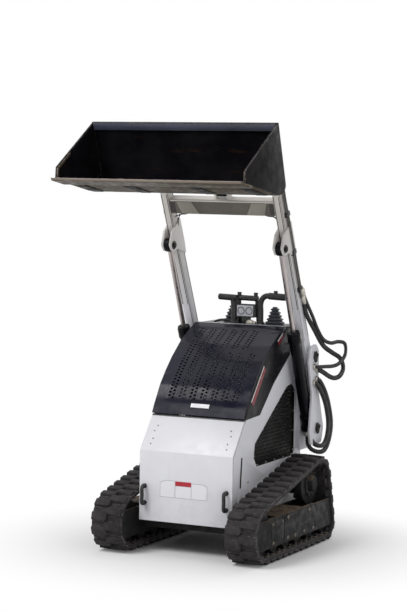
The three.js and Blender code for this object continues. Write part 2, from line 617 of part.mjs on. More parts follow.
function hitchPlate() {
  const half = ARM_X + 40;
  const low = add2(add2(BUCKET_HEEL_REAR, backLine, 60), backOut, SEAT_GAP + 7);
  const middle = add2(low, backLine, 160);
  const high = add2(low, backLine, 245);
  const betweenArms = ARM_X - ARM_WIDTH / 2 - MOVE_GAP;
  const earAt = (side, near, far) => profile(rounded([
    add2(add2(BUCKET_PIVOT, backOut, -46), backLine, -48), add2(BUCKET_PIVOT, polar2(42, -45)),
    add2(BUCKET_PIVOT, polar2(42, 45)), add2(add2(BUCKET_PIVOT, backOut, -46), backLine, 60)],
  [0, 22, 22, 0]), span(side, near, far));
  const lug = rounded([
    add2(add2(BUCKET_PIVOT, backOut, -46), backLine, 20), add2(TILT_PIN, polar2(30, -60)),
    add2(TILT_PIN, polar2(34, 20)), add2(TILT_PIN, polar2(30, 100)),
    add2(add2(BUCKET_PIVOT, backOut, -46), backLine, 150)], [0, 12, 14, 12, 0]);
  const parts = [profile(strip(low, middle, 14), [-half, half]),
    profile(strip(low, high, 14), [-betweenArms, betweenArms])];
  for (const side of [-1, 1]) {
    parts.push(earAt(side, ARM_X - 40, ARM_X - 27), earAt(side, ARM_X + 27, ARM_X + 40));
    parts.push(profile(lug, span(side, 20, 32)), bar(TILT_PIN, 17, span(side, 31, 40)));
  }
  return cut(join(...parts), bar(BUCKET_PIVOT, BUCKET_PIN_R + PIN_GAP, [-half - 5, half + 5]));
}

place('bucket_shell', bucketShell(), BLACK_STEEL);
place('cutting_edge', cuttingEdge(), STEEL);
place('hitch_plate', hitchPlate(), BLACK_STEEL);
for (const [word, side] of SIDES) {
  place(`${word}_hitch_pin`, bar(BUCKET_PIVOT, BUCKET_PIN_R, span(side, ARM_X - 44, ARM_X + 44)),
    STEEL);
}

// ---------------------------------------------------------------- operator's platform
function platform() {
  const [y, z] = PLATFORM_HINGE;
  const half = PLATFORM_HALF;
  const plate = box([-half, half], [y + 42, y + 42 + PLATFORM_LENGTH], [z - 12, z + 12]);
  const arms = [-1, 1].map((side) => box(
    span(side, half - 24, half - 4), [y, y + 60], [z - 12, z + 12]));
  const eyes = [-1, 1].map((side) => bar(PLATFORM_HINGE, 22, span(side, half - 24, half - 4)));
  return cut(join(plate, ...arms, ...eyes), bar(PLATFORM_HINGE, PLATFORM_PIN_R + PIN_GAP, [-half, half]));
}
place('operator_platform', platform(), BLACK_STEEL);

// ---------------------------------------------------------------- hoses
const TOWER_FACE = ARM_X + 50 + SEAT_GAP;

function liftHose(side) {
  const [y, z] = LIFT_BASE;
  return hose([
    [ARM_X, y, z - LIFT_BASE_R - SEAT_GAP], [ARM_X, y, z - 56], [ARM_X + 8, 884, 560],
    [ARM_X + 34, 886, 526], [ARM_X + 70, 930, 510], [ARM_X + 76, 1000, 530],
    [ARM_X + 76, 1056, 600], [ARM_X + 76, 1066, 680], [ARM_X + 76, 1020, 790],
    [ARM_X + 76, 960, 870], [ARM_X + 70, 905, 928], [TOWER_FACE + 10, 886, 946],
    [TOWER_FACE, 886, 946],
  ].map(([hx, hy, hz]) => [side * hx, hy, hz]), HOSE_R, { steps: 26 });
}

function armHose(side) {
  return hose([
    [TOWER_FACE, 886, 1000], [TOWER_FACE + 10, 886, 1000], [ARM_X + 68, 930, 988],
    [ARM_X + 62, 1100, 936], [ARM_X + 56, 1220, 932], [ARM_X + 54, 1288, 975],
    [ARM_X + 54, 1240, 1040], [ARM_X + 54, 1120, 1110], [ARM_X + 52, 980, 1195],
    [ARM_X + 44, 850, 1270], [ARM_X + ARM_WIDTH / 2 + HOSE_R + SEAT_GAP, 775, 1370],
  ].map(([hx, hy, hz]) => [side * hx, hy, hz]), HOSE_R, { steps: 26 });
}

for (const [word, side] of SIDES) {
  place(`${word}_lift_hose`, liftHose(side), RUBBER);
  place(`${word}_arm_hose`, armHose(side), RUBBER);
}

// ---------------------------------------------------------------- origin under the middle
const bounds = new THREE.Box3().setFromObject(machine);
machine.position.y = -(bounds.min.y + bounds.max.y) / 2;

export default machine;
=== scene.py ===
"""A compact track loader: fine shapes and finishes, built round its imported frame.

Metres.  The machine faces -Y, +X is its left side, and z = 0 is the ground.
"""
import json
import math
import random

import bpy
from mathutils import Matrix, Vector


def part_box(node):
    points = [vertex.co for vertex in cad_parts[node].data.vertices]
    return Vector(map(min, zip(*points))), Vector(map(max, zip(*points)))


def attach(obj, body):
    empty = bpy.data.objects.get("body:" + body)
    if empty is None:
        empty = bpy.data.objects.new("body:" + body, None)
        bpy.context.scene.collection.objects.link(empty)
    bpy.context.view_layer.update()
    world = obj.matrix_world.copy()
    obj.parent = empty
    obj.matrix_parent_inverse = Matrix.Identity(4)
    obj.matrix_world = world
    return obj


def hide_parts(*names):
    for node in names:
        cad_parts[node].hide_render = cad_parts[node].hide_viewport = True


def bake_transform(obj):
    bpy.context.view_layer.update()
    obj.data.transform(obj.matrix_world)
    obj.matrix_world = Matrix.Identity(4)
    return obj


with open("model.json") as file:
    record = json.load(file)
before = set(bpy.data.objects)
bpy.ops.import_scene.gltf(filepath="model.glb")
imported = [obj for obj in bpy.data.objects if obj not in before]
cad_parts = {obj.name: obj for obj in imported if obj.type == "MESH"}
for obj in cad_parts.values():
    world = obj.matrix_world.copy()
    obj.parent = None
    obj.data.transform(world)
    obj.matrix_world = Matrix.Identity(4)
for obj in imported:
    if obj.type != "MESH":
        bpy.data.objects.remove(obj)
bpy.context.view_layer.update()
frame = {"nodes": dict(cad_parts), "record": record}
NODES = frame["nodes"]
BODY_OF = {
    node: body
    for body, nodes in frame["record"]["behaviour"]["bodies"].items()
    for node in nodes
}
SLOT_OF = {row["node"]: row["material_slot"] for row in frame["record"]["subparts"]}
SIDES = (("left", 1), ("right", -1))

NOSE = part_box("front_door")[0].y          # the machine's upright front face
BODY_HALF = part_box("front_door")[1].x      # half the body's width
DECK_FRONT, DECK_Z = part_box("control_deck")[0].y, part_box("control_deck")[1].z


def centre(node):
    """The middle of a node's box."""
    low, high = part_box(node)
    return (low + high) / 2


def outer_x(node, hand):
    """X of a node's face on the outside of that side, or on its inside for the other hand."""
    low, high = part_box(node)
    return high.x if hand > 0 else low.x


ARM_X = centre("left_lift_arm").x


def back(distance, height):
    """Y and Z of a place so far behind the nose and above the ground."""
    return NOSE + distance, height


# ---------------------------------------------------------------- bench work
def deselect():
    """Nothing is selected after this."""
    bpy.ops.object.select_all(action="DESELECT")


def pick(piece):
    """Makes one piece the only one selected, and active."""
    deselect()
    piece.select_set(True)
    bpy.context.view_layer.objects.active = piece


def settle(piece):
    """Puts the piece's place, turn and size into its mesh."""
    pick(piece)
    bpy.ops.object.transform_apply(location=True, rotation=True, scale=True)
    return piece


def modify(piece, kind, **settings):
    """Adds one modifier and applies it."""
    pick(piece)
    modifier = piece.modifiers.new("work", kind)
    for key, value in settings.items():
        setattr(modifier, key, value)
    bpy.ops.object.modifier_apply(modifier=modifier.name)
    return piece


def soften(piece, width, segments=2, angle=35, smooth=35):
    """Rounds the sharp edges and shades what is left smooth."""
    modify(piece, "BEVEL", width=width, segments=segments, limit_method="ANGLE",
           angle_limit=math.radians(angle), use_clamp_overlap=True)
    pick(piece)
    bpy.ops.object.shade_smooth_by_angle(angle=math.radians(smooth))
    return piece


def choose(piece, wanted):
    """Enters edit mode with only the wanted faces selected."""
    pick(piece)
    bpy.ops.object.mode_set(mode="EDIT")
    bpy.ops.mesh.select_mode(type="FACE")
    bpy.ops.mesh.select_all(action="DESELECT")
    bpy.ops.object.mode_set(mode="OBJECT")
    for polygon in piece.data.polygons:
        polygon.select = wanted(polygon)
    bpy.ops.object.mode_set(mode="EDIT")


def drop_faces(piece, wanted):
    """Deletes the wanted faces."""
    choose(piece, wanted)
    bpy.ops.mesh.delete(type="FACE")
    bpy.ops.object.mode_set(mode="OBJECT")


def name_it(name):
    """Names the object just made."""
    piece = bpy.context.object
    piece.name = name
    piece.data.name = name
    return piece


def block(name, low, high):
    """A block between two corners."""
    low, high = Vector(low), Vector(high)
    bpy.ops.mesh.primitive_cube_add(size=1, location=(low + high) / 2)
    bpy.context.object.scale = high - low
    return settle(name_it(name))


def turned(name, start, end, radius, sides=24, end_radius=None):
    """A round bar or cone between two points."""
    start, end = Vector(start), Vector(end)
    along = end - start
    bpy.ops.mesh.primitive_cone_add(
        vertices=sides, radius1=radius, radius2=radius if end_radius is None else end_radius,
        depth=along.length, location=(start + end) / 2,
        rotation=along.to_track_quat("Z", "Y").to_euler())
    return settle(name_it(name))


def ring(name, middle, axis, radius, thickness):
    """A round bead about an axis."""
    bpy.ops.mesh.primitive_torus_add(
        major_radius=radius, minor_radius=thickness, major_segments=28, minor_segments=8,
        location=middle, rotation=Vector(axis).to_track_quat("Z", "Y").to_euler())
    return settle(name_it(name))


def oblong(left, right, low, high):
    """The corners of a rectangle, in order."""
    return [(left, low), (right, low), (right, high), (left, high)]


def plate(name, outline, lift, pull, bevel=0.0):
    """A sheet cut to an outline.

    lift(u, v) gives the place of a corner, and pull is the sheet's thickness as a vector.
    """
    bpy.ops.mesh.primitive_circle_add(vertices=len(outline), radius=1, fill_type="NGON")
    piece = name_it(name)
    for vertex, corner in zip(piece.data.vertices, outline):
        vertex.co = lift(*corner)
    pick(piece)
    bpy.ops.object.mode_set(mode="EDIT")
    bpy.ops.mesh.select_all(action="SELECT")
    bpy.ops.mesh.extrude_region_move(TRANSFORM_OT_translate={"value": pull})
    bpy.ops.mesh.select_all(action="SELECT")
    bpy.ops.mesh.normals_make_consistent(inside=False)
    bpy.ops.object.mode_set(mode="OBJECT")
    if bevel:
        soften(piece, bevel)
    return piece


def side_plate(name, outline, x, thickness, bevel=0.0):
    """A plate parallel to the machine's side; its corners are distance behind the nose and height."""
    return plate(name, [back(*corner) for corner in outline],
                 lambda y, z: Vector((x, y, z)), (thickness, 0, 0), bevel)


def tube(name, points, radius, sides=10, resolution=4):
    """A smooth round tube through a list of points."""
    curve = bpy.data.curves.new(name, "CURVE")
    curve.dimensions = "3D"
    curve.bevel_depth = radius
    curve.bevel_resolution = max(1, sides // 4)
    curve.use_fill_caps = True
    spline = curve.splines.new("BEZIER")
    spline.bezier_points.add(len(points) - 1)
    for knot, point in zip(spline.bezier_points, points):
        knot.co = point
        knot.handle_left_type = knot.handle_right_type = "AUTO"
    spline.resolution_u = resolution
    piece = bpy.data.objects.new(name, curve)
    bpy.context.scene.collection.objects.link(piece)
    pick(piece)
    bpy.ops.object.convert(target="MESH")
    bpy.ops.object.shade_smooth_by_angle(angle=math.radians(50))
    return name_it(name)


def weld(pieces, name):
    """Joins pieces into one object."""
    bpy.context.view_layer.update()
    deselect()
    for piece in pieces:
        piece.select_set(True)
    bpy.context.view_layer.objects.active = pieces[0]
    if len(pieces) > 1:
        bpy.ops.object.join()
    return settle(name_it(name))


def weld_soft(pieces, width, name):
    """Rounds the pieces' edges and joins them."""
    return weld([soften(piece, width) for piece in pieces], name)


def copies(pattern, places, name):
    """Copies of one pattern piece at each place (a matrix), joined into one piece."""
    made = []
    for place in places:
        piece = pattern.copy()
        piece.data = pattern.data.copy()
        piece.matrix_world = place
        bpy.context.scene.collection.objects.link(piece)
        made.append(piece)
    bpy.data.objects.remove(pattern)
    return weld(made, name)


def facing(point, outward, turn=0.0):
    """The place of a small fitting whose own +Z points outward."""
    lean = Vector(outward).to_track_quat("Z", "Y").to_matrix().to_4x4()
    return Matrix.Translation(point) @ lean @ Matrix.Rotation(turn, 4, "Z")


def hex_bolt(size):
    """A bolt head with its washer, standing on z = 0."""
    washer = turned("washer", (0, 0, -0.0005), (0, 0, 0.002), size * 1.15, 16)
    head = turned("head", (0, 0, 0.001), (0, 0, size * 0.75), size, 6)
    soften(head, size * 0.12, 1)
    return weld([washer, head], "bolt")


def bolts(name, places, size=0.009):
    """Bolts at (point, outward) pairs, each turned a little differently."""
    draw = random.Random(name)
    return copies(hex_bolt(size), [facing(p, o, draw.uniform(0, 1)) for p, o in places], name)


def dome_heads(name, places, size=0.005):
    """Round rivet or button heads at (point, outward) pairs."""
    bpy.ops.mesh.primitive_uv_sphere_add(segments=12, ring_count=6, radius=size)
    head = name_it("rivet")
    head.scale = (1, 1, 0.55)
    settle(head)
    bpy.ops.object.shade_smooth()
    return copies(head, [facing(p, o) for p, o in places], name)


# ---------------------------------------------------------------- finishes
class Finish:
    """One surface finish, laid down layer by layer; its sheen is the shader's specular level."""

    def __init__(self, name, roughness, metallic=0.0, sheen=0.5):
        self.material = bpy.data.materials.new(name)
        self.material.use_nodes = True
        self.tree = self.material.node_tree
        self.shader = self.tree.nodes["Principled BSDF"]
        self.shader.inputs["Roughness"].default_value = roughness
        self.shader.inputs["Metallic"].default_value = metallic
        self.shader.inputs["Specular IOR Level"].default_value = sheen
        self.place = self.add("TexCoord").outputs["Object"]

    def add(self, kind, **settings):
        """A new shader node of a kind."""
        node = self.tree.nodes.new("ShaderNode" + kind)
        for key, value in settings.items():
            setattr(node, key, value)
        return node

    def feed(self, socket, value):
        """Links an output to a socket, or sets the socket to a value."""
        if isinstance(value, bpy.types.NodeSocket):
            self.tree.links.new(value, socket)
        else:
            socket.default_value = value

    def noise(self, scale, detail=4.0, rough=0.6, stretch=(1, 1, 1)):
        """Grain of so many lumps a metre, drawn finer along each axis by the stretch."""
        mapping = self.add("Mapping")
        self.feed(mapping.inputs["Vector"], self.place)
        mapping.inputs["Scale"].default_value = stretch
        node = self.add("TexNoise")
        self.feed(node.inputs["Vector"], mapping.outputs[0])
        node.inputs["Scale"].default_value = scale
        node.inputs["Detail"].default_value = detail
        node.inputs["Roughness"].default_value = rough
        return node.outputs[0]

    def span(self, value, low, high, bottom=0.0, top=1.0):
        """Stretches low..high to bottom..top."""
        node = self.add("MapRange", interpolation_type="SMOOTHSTEP")
        self.feed(node.inputs["Value"], value)
        for key, number in (("From Min", low), ("From Max", high), ("To Min", bottom), ("To Max", top)):
            node.inputs[key].default_value = number
        return node.outputs[0]

    def patches(self, grain, low, high, bottom=0.0, top=1.0):
        """Noise of a grain (scale, detail, roughness, stretch) hardened into patches."""
        return self.span(self.noise(*grain), low, high, bottom, top)

    def math(self, operation, a, b):
        """Two numbers combined, kept between 0 and 1."""
        node = self.add("Math", operation=operation, use_clamp=True)
        self.feed(node.inputs[0], a)
        self.feed(node.inputs[1], b)
        return node.outputs[0]

    def times(self, a, b):
        """One number times another."""
        return self.math("MULTIPLY", a, b)

    def blend(self, factor, a, b):
        """Colour a where the factor is 0, b where it is 1."""
        node = self.add("Mix", data_type="RGBA")
        self.feed(node.inputs["Factor"], factor)
        for socket, value in ((node.inputs[6], a), (node.inputs[7], b)):
            self.feed(socket, value if isinstance(value, bpy.types.NodeSocket) else (*value, 1))
        return node.outputs[2]

    def height(self):
        """Height above the ground."""
        node = self.add("SeparateXYZ")
        self.feed(node.inputs[0], self.place)
        return node.outputs[2]

    def upward(self):
        """1 on what faces up, 0 on what faces sideways or down."""
        geometry = self.add("NewGeometry")
        node = self.add("SeparateXYZ")
        self.feed(node.inputs[0], geometry.outputs["Normal"])
        return self.span(node.outputs[2], 0.25, 0.9)

    def edges(self, radius):
        """1 along sharp edges, 0 on flats."""
        bevel = self.add("Bevel", samples=4)
        bevel.inputs["Radius"].default_value = radius
        geometry = self.add("NewGeometry")
        dot = self.add("VectorMath", operation="DOT_PRODUCT")
        self.feed(dot.inputs[0], bevel.outputs[0])
        self.feed(dot.inputs[1], geometry.outputs["Normal"])
        return self.span(dot.outputs["Value"], 0.98, 0.75)

    def rubbed(self, radius, grain, low, high, bottom=0.0, top=1.0):
        """Sharp edges, broken up into patches."""
        return self.times(self.edges(radius), self.patches(grain, low, high, bottom, top))

    def bump(self, value, depth, strength):
        """Raises the surface by a height of 0 to 1 times the depth."""
        node = self.add("Bump")
        node.inputs["Strength"].default_value = strength
        node.inputs["Distance"].default_value = depth
        self.feed(node.inputs["Height"], value)
        self.feed(self.shader.inputs["Normal"], node.outputs[0])

    def coat(self, colour, roughness, metallic=None):
        """Lays the colour and gloss on, and gives the finished material."""
        self.feed(self.shader.inputs["Base Color"], colour)
        self.feed(self.shader.inputs["Roughness"], roughness)
        if metallic is not None:
            self.feed(self.shader.inputs["Metallic"], metallic)
        return self.material


DUST = (0.30, 0.26, 0.21)
MUD = (0.125, 0.085, 0.060)
STRAW = (0.34, 0.26, 0.18)
ARM_HEIGHTS = (1.15, 2.05)        # over which white paint turns darker and warmer up the arms
HOOD_FOOT = (0.80, 1.02)          # over which the hood gains its sheen
RUN_GRAIN = (0.25, 5, 5)          # stretches a grain along a floor's width


def painted(name, colour, shade, gloss, dust=0.35, dust_top=0.7, chips=None, sheen=0.5, high_colour=None,
            foot_sheen=None):
    """Sheet metal under paint: cloudy colour, dust that thins upwards, and chipped edges.

    Given a colour for high up, it turns to that darker, warmer colour up the arms; foot_sheen is the sheen it
    keeps at a hood's foot.
    """
    finish = Finish(name, gloss, sheen=sheen)
    paint = finish.blend(finish.patches((3.0, 5), 0.3, 0.7), colour, shade)
    low_down = finish.span(finish.height(), 0.15, dust_top, 1.0, 0.12)
    film = finish.times(finish.times(finish.patches((9, 8, 0.7), 0.42, 0.75), low_down), dust)
    paint = finish.blend(film, paint, DUST)
    streak = finish.patches((6, 6, 0.65, (6, 6, 0.5)), 0.55, 0.8, 0, 0.22)
    paint = finish.blend(streak, paint, [c * 0.72 for c in colour])
    rough = finish.patches((14, 6), 0.3, 0.75, gloss - 0.06, gloss + 0.16)
    if high_colour:
        # darker and warmer towards the top of the arms
        paint = finish.blend(finish.span(finish.height(), *ARM_HEIGHTS, 0, 0.85), paint, high_colour)
    if foot_sheen is not None:
        finish.feed(finish.shader.inputs["Specular IOR Level"],
                    finish.span(finish.height(), *HOOD_FOOT, foot_sheen, sheen))
    if chips:
        paint = finish.blend(finish.rubbed(0.004, (60, 5, 0.7), 0.48, 0.6), paint, chips)
    finish.bump(finish.noise(240, 2), 0.0006, 0.12)
    return finish.coat(paint, rough)


def bucket_finish():
    """Black paint rubbed by soil: scratches along the pour, patches of rust, and bare edges."""
    black, grey, scratched = (0.0035, 0.0032, 0.0045), (0.011, 0.010, 0.012), (0.027, 0.025, 0.027)
    rust, bare = (0.06, 0.028, 0.014), (0.33, 0.30, 0.28)
    finish = Finish("bucket_worn_paint", 0.45, sheen=0.055)
    paint = finish.blend(finish.patches((4, 6), 0.35, 0.7), black, grey)
    paint = finish.blend(finish.patches((22, 8, 0.75, (0.4, 6, 6)), 0.56, 0.72, 0, 0.45), paint, scratched)
    paint = finish.blend(finish.patches((7, 7, 0.7, (0.5, 1, 3)), 0.58, 0.74, 0, 0.35), paint, rust)
    scrape = finish.rubbed(0.006, (45, 5, 0.7), 0.36, 0.52)
    paint = finish.blend(scrape, paint, bare)
    finish.bump(finish.noise(70, 6, 0.7), 0.0015, 0.35)
    return finish.coat(paint, finish.patches((18, 5), 0.3, 0.7, 0.32, 0.62), finish.times(scrape, 0.8))


def soiled_steel(name, dark, colour, gloss, lip=False):
    """Steel with soil rubbed along it; a lip is pale where it meets the ground, with bright rims."""
    brown, pale, bright = (0.15, 0.09, 0.055), (0.40, 0.34, 0.29), (0.52, 0.46, 0.42)
    finish = Finish(name, gloss, 0.2, sheen=0.25)
    tone = finish.blend(finish.patches((12, 8, 0.75, RUN_GRAIN), 0.35, 0.65), dark, colour)
    if lip:
        ahead = finish.add("VectorMath", operation="DOT_PRODUCT")
        finish.feed(ahead.inputs[0], finish.add("TexCoord").outputs["Normal"])
        ahead.inputs[1].default_value = (0, -1, 0)
        tone = finish.blend(finish.span(ahead.outputs["Value"], 0.6, 0.95, 0, 0.9), tone, pale)
        tone = finish.blend(finish.rubbed(0.004, (40, 4), 0.3, 0.5, 0.4, 1), tone, bright)
    else:
        tone = finish.blend(finish.patches((9, 6), 0.55, 0.75, 0, 0.6), tone, brown)
    finish.bump(finish.noise(160, 5, 0.7, (0.2, 2, 2)), 0.0008, 0.3)
    return finish.coat(tone, finish.patches((30, 4), 0.3, 0.7, gloss - 0.1, gloss + 0.18))


def track_rubber():
    """Moulded rubber, grey with dust on its faces and light along its rubbed edges."""
    black, grey, dusty, light = ((0.016, 0.0145, 0.016), (0.036, 0.032, 0.034), (0.085, 0.072, 0.068),
                                 (0.22, 0.205, 0.20))
    finish = Finish("track_rubber", 0.82, sheen=0.3)
    tone = finish.blend(finish.patches((8, 6), 0.35, 0.7), black, grey)
    tone = finish.blend(finish.patches((26, 8, 0.75), 0.42, 0.75, 0, 0.45), tone, dusty)
    tone = finish.blend(finish.times(finish.rubbed(0.006, (40, 5), 0.38, 0.6), 0.8), tone, light)
    finish.bump(finish.noise(130, 6, 0.7), 0.0012, 0.5)
    return finish.coat(tone, finish.patches((40, 4), 0.3, 0.7, 0.7, 0.92))


def muddy_steel():
    """Black undercarriage paint with dry mud and grass lying on what faces up."""
    black, worn_black, soiled, bare = ((0.007, 0.007, 0.008), (0.018, 0.017, 0.017), (0.065, 0.055, 0.050),
                                       (0.22, 0.20, 0.18))
    finish = Finish("muddy_black_steel", 0.6, sheen=0.18)
    paint = finish.blend(finish.patches((6, 6), 0.3, 0.7), black, worn_black)
    paint = finish.blend(finish.patches((9, 8, 0.75, (6, 6, 0.8)), 0.45, 0.75, 0.0, 0.22), paint, soiled)
    lying = finish.times(finish.upward(), finish.patches((30, 8, 0.8), 0.3, 0.6))
    litter = finish.blend(finish.patches((70, 6, 0.7, (3, 0.5, 3)), 0.42, 0.6), MUD, STRAW)
    paint = finish.blend(lying, paint, litter)
    paint = finish.blend(finish.times(finish.rubbed(0.004, (50, 5), 0.45, 0.6), 0.6), paint, bare)
    finish.bump(finish.noise(90, 8, 0.75), 0.002, 0.45)
    return finish.coat(paint, finish.patches((20, 5), 0.3, 0.7, 0.45, 0.85))


def soft_black(name, colour, light, gloss, grain=300, dust=0.3):
    """Rubber or moulded plastic with a fine grain and a little dust."""
    finish = Finish(name, gloss)
    tone = finish.blend(finish.patches((12, 5), 0.3, 0.7), colour, light)
    film = finish.times(finish.upward(), finish.patches((35, 6, 0.7), 0.4, 0.7))
    tone = finish.blend(finish.times(film, dust), tone, DUST)
    finish.bump(finish.noise(grain, 3), 0.0006, 0.4)
    return finish.coat(tone, finish.patches((25, 4), 0.3, 0.7, gloss - 0.1, gloss + 0.12))


def bright_metal(name, colour, gloss, stretch=(1, 1, 1), fade=0.7):
    """Bare or plated metal, a little darker in patches."""
    finish = Finish(name, gloss, 1.0)
    tone = finish.blend(finish.patches((20, 6, 0.7, stretch), 0.35, 0.7), colour,
                        [c * fade for c in colour])
    finish.bump(finish.noise(200, 3, 0.6, stretch), 0.0001, 0.08)
    return finish.coat(tone, finish.patches((35, 5), 0.3, 0.7, gloss - 0.08, gloss + 0.15))


def decal(name, colour, gloss=0.4):
    """Printed film that has faded in patches."""
    finish = Finish(name, gloss)
    tone = finish.blend(finish.patches((25, 7, 0.75), 0.5, 0.75, 0, 0.5), colour,
                        [0.75 * c + 0.02 for c in colour])
    finish.bump(finish.noise(180, 3), 0.0003, 0.1)
    return finish.coat(tone, finish.patches((30, 4), 0.3, 0.7, gloss - 0.08, gloss + 0.15))


FINISHES = {
    "white_paint": painted("white_paint", (0.775, 0.78, 0.825), (0.74, 0.742, 0.78), 0.38, 0.2, 0.6,
                           (0.34, 0.32, 0.30), high_colour=(0.66, 0.62, 0.56)),
    "black_paint": painted("black_paint", (0.0028, 0.0028, 0.0045), (0.006, 0.006, 0.009), 0.3, 0.03,
                           1.2, (0.08, 0.075, 0.07), sheen=0.10),
    "black_mesh": painted("black_sheet", (0.006, 0.0055, 0.0055), (0.011, 0.010, 0.0095), 0.5, 0.08, 1.0,
                          sheen=0.08),
    "dark_steel": muddy_steel(),
    "bucket_steel": bucket_finish(),
    "worn_edge": soiled_steel("soil_worn_steel", (0.044, 0.033, 0.019), (0.098, 0.075, 0.046), 0.5, lip=True),
    "pin_steel": bright_metal("greased_pin", (0.13, 0.125, 0.12), 0.4),
    "engine_grey": soft_black("cast_grey", (0.16, 0.16, 0.16), (0.24, 0.24, 0.23), 0.6, 120),
    "track_rubber": track_rubber(),
    "boot_rubber": soft_black("boot_rubber", (0.024, 0.029, 0.042), (0.042, 0.049, 0.066), 0.5),
    "hose_rubber": soft_black("hose_rubber", (0.006, 0.006, 0.006), (0.014, 0.013, 0.013), 0.42, 260, 0.12),
    "grip_black": soft_black("grip_black", (0.005, 0.005, 0.006), (0.012, 0.012, 0.013), 0.40, 220, 0.06),
    "gauge_grey": soft_black("gauge_case", (0.020, 0.020, 0.022), (0.032, 0.032, 0.034), 0.45, 200, 0.1),
    "chrome_rod": bright_metal("chrome_rod", (0.50, 0.45, 0.44), 0.30, (1, 1, 0.05), 0.85),
    "plated_cap": bright_metal("plated_fitting", (0.56, 0.53, 0.48), 0.34),
}
HOOD_PAINT = painted("hood_gloss", (0.010, 0.010, 0.021), (0.016, 0.016, 0.031), 0.17, 0.05, 1.2,
                     (0.10, 0.10, 0.11), sheen=0.25, foot_sheen=0.05)
TREAD_STEEL = painted("tread_paint", (0.010, 0.010, 0.011), (0.020, 0.019, 0.019), 0.5, 0.7, 2.0,
                      (0.20, 0.19, 0.18), sheen=0.4)
BROWN_FLOOR = soiled_steel("scuffed_floor", (0.036, 0.027, 0.017), (0.098, 0.073, 0.044), 0.6)
# white paint darkened to grey-brown as painted shade for the crossmember's down-facing front face, with dust
# laid over it
DUST_AND_SHADE_PAINT = painted("dust_and_shade_paint", (0.135, 0.121, 0.100), (0.098, 0.088, 0.074), 0.6, 0.3, 3.0)
# white paint darkened to grey-olive as painted shade for the crossmember's end plates, lighter than the face
# between them
PALE_SHADE_PAINT = painted("pale_shade_paint", (0.31, 0.295, 0.25), (0.25, 0.235, 0.20), 0.5, 0.3, 3.0)
TOP_STRIP = painted("top_strip", (0.075, 0.085, 0.125), (0.045, 0.05, 0.075), 0.35, 0.1, 3.0,
                    (0.25, 0.24, 0.24))
RED_STRIPE = decal("red_stripe", (0.20, 0.004, 0.012))
WHITE_STRIPE = decal("white_stripe", (0.78, 0.77, 0.76))
LABEL_WHITE = decal("label_white", (0.80, 0.80, 0.84))
LABEL_EDGE = decal("label_edge", (0.33, 0.34, 0.42))
LABEL_RED = decal("label_red", (0.42, 0.012, 0.026))
GAUGE_FACE = decal("gauge_face", (0.66, 0.67, 0.73), 0.3)
# dark film painted as shade: lines along the arms' edges and a patch by each end of the crossmember
PAINTED_SHADOW = decal("seam_shadow", (0.045, 0.042, 0.040), 0.6)


def finish_piece(piece, body, slot, stands_for=(), material=None):
    """Gives a piece its finish, the body it moves with and the nodes it stands for.

    A piece that runs between two bodies is given None for its body, and is attached to neither.
    """
    piece.data.materials.clear()
    piece.data.materials.append(material or FINISHES[slot])
    for polygon in piece.data.polygons:
        polygon.material_index = 0
    if body:
        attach(piece, body)
    if stands_for:
        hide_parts(*stands_for)
    return piece


# ---------------------------------------------------------------- stage
FLOOR_FADE = (0.4, 1.6)           # how far from the machine's middle the floor turns white


def stage():
    """A pale floor that turns white with distance, a white background and three soft lamps."""
    bpy.ops.mesh.primitive_plane_add(size=60, location=(0, 0, 0))
    floor = name_it("floor")
    finish = Finish("floor_paper", 0.9)
    finish.shader.inputs["Base Color"].default_value = (0.92, 0.92, 0.92, 1)
    nodes, links = finish.tree.nodes, finish.tree.links
    paths = finish.add("LightPath")
    seen = finish.math("MAXIMUM", paths.outputs["Is Camera Ray"], paths.outputs["Is Glossy Ray"])
    seen = finish.math("MAXIMUM", seen, paths.outputs["Is Transmission Ray"])
    length = finish.add("VectorMath", operation="LENGTH")
    finish.feed(length.inputs[0], finish.place)
    far = finish.span(length.outputs["Value"], *FLOOR_FADE)
    white = finish.add("Emission")
    mix = finish.add("MixShader")
    finish.feed(mix.inputs[0], finish.times(seen, far))
    links.new(finish.shader.outputs[0], mix.inputs[1])
    links.new(white.outputs[0], mix.inputs[2])
    links.new(mix.outputs[0], nodes["Material Output"].inputs["Surface"])
    floor.data.materials.append(finish.material)

    world = bpy.data.worlds.new("studio")
    world.use_nodes = True
    bpy.context.scene.world = world
    tree = world.node_tree
    sky = tree.nodes["Background"]
    sky.inputs["Color"].default_value = (0.97, 0.98, 1.0, 1)
    sky.inputs["Strength"].default_value = 0.36
    backdrop = tree.nodes.new("ShaderNodeBackground")
    backdrop.inputs["Color"].default_value = (1, 1, 1, 1)
    rays = tree.nodes.new("ShaderNodeLightPath")
    mix = tree.nodes.new("ShaderNodeMixShader")
    either = rays.outputs["Is Camera Ray"]
    for kind in ("Is Glossy Ray", "Is Transmission Ray"):
        larger = tree.nodes.new("ShaderNodeMath")
        larger.operation = "MAXIMUM"
        tree.links.new(either, larger.inputs[0])
        tree.links.new(rays.outputs[kind], larger.inputs[1])
        either = larger.outputs[0]
    tree.links.new(either, mix.inputs[0])
    tree.links.new(sky.outputs[0], mix.inputs[1])
    tree.links.new(backdrop.outputs[0], mix.inputs[2])
    tree.links.new(mix.outputs[0], tree.nodes["World Output"].inputs["Surface"])

    # name, place, size, watts, colour
    lamps = (("key", (-2.4, -4.6, 6.4), 3.0, 325, (1.0, 0.99, 0.985)),
             ("fill", (5.0, -3.0, 2.6), 3.5, 40, (1.0, 0.975, 0.95)),
             ("rim", (1.5, 5.0, 4.5), 3.5, 70, (1.0, 1.0, 1.0)))
    target = Vector((0, 0, 1.1))
    for name, place, size, power, colour in lamps:
        light = bpy.data.lights.new(name, "AREA")
        light.size = size
        light.energy = power
        light.color = colour
        lamp = bpy.data.objects.new(name, light)
        lamp.location = place
        lamp.rotation_euler = (target - Vector(place)).to_track_quat("-Z", "Y").to_euler()
        bpy.context.scene.collection.objects.link(lamp)


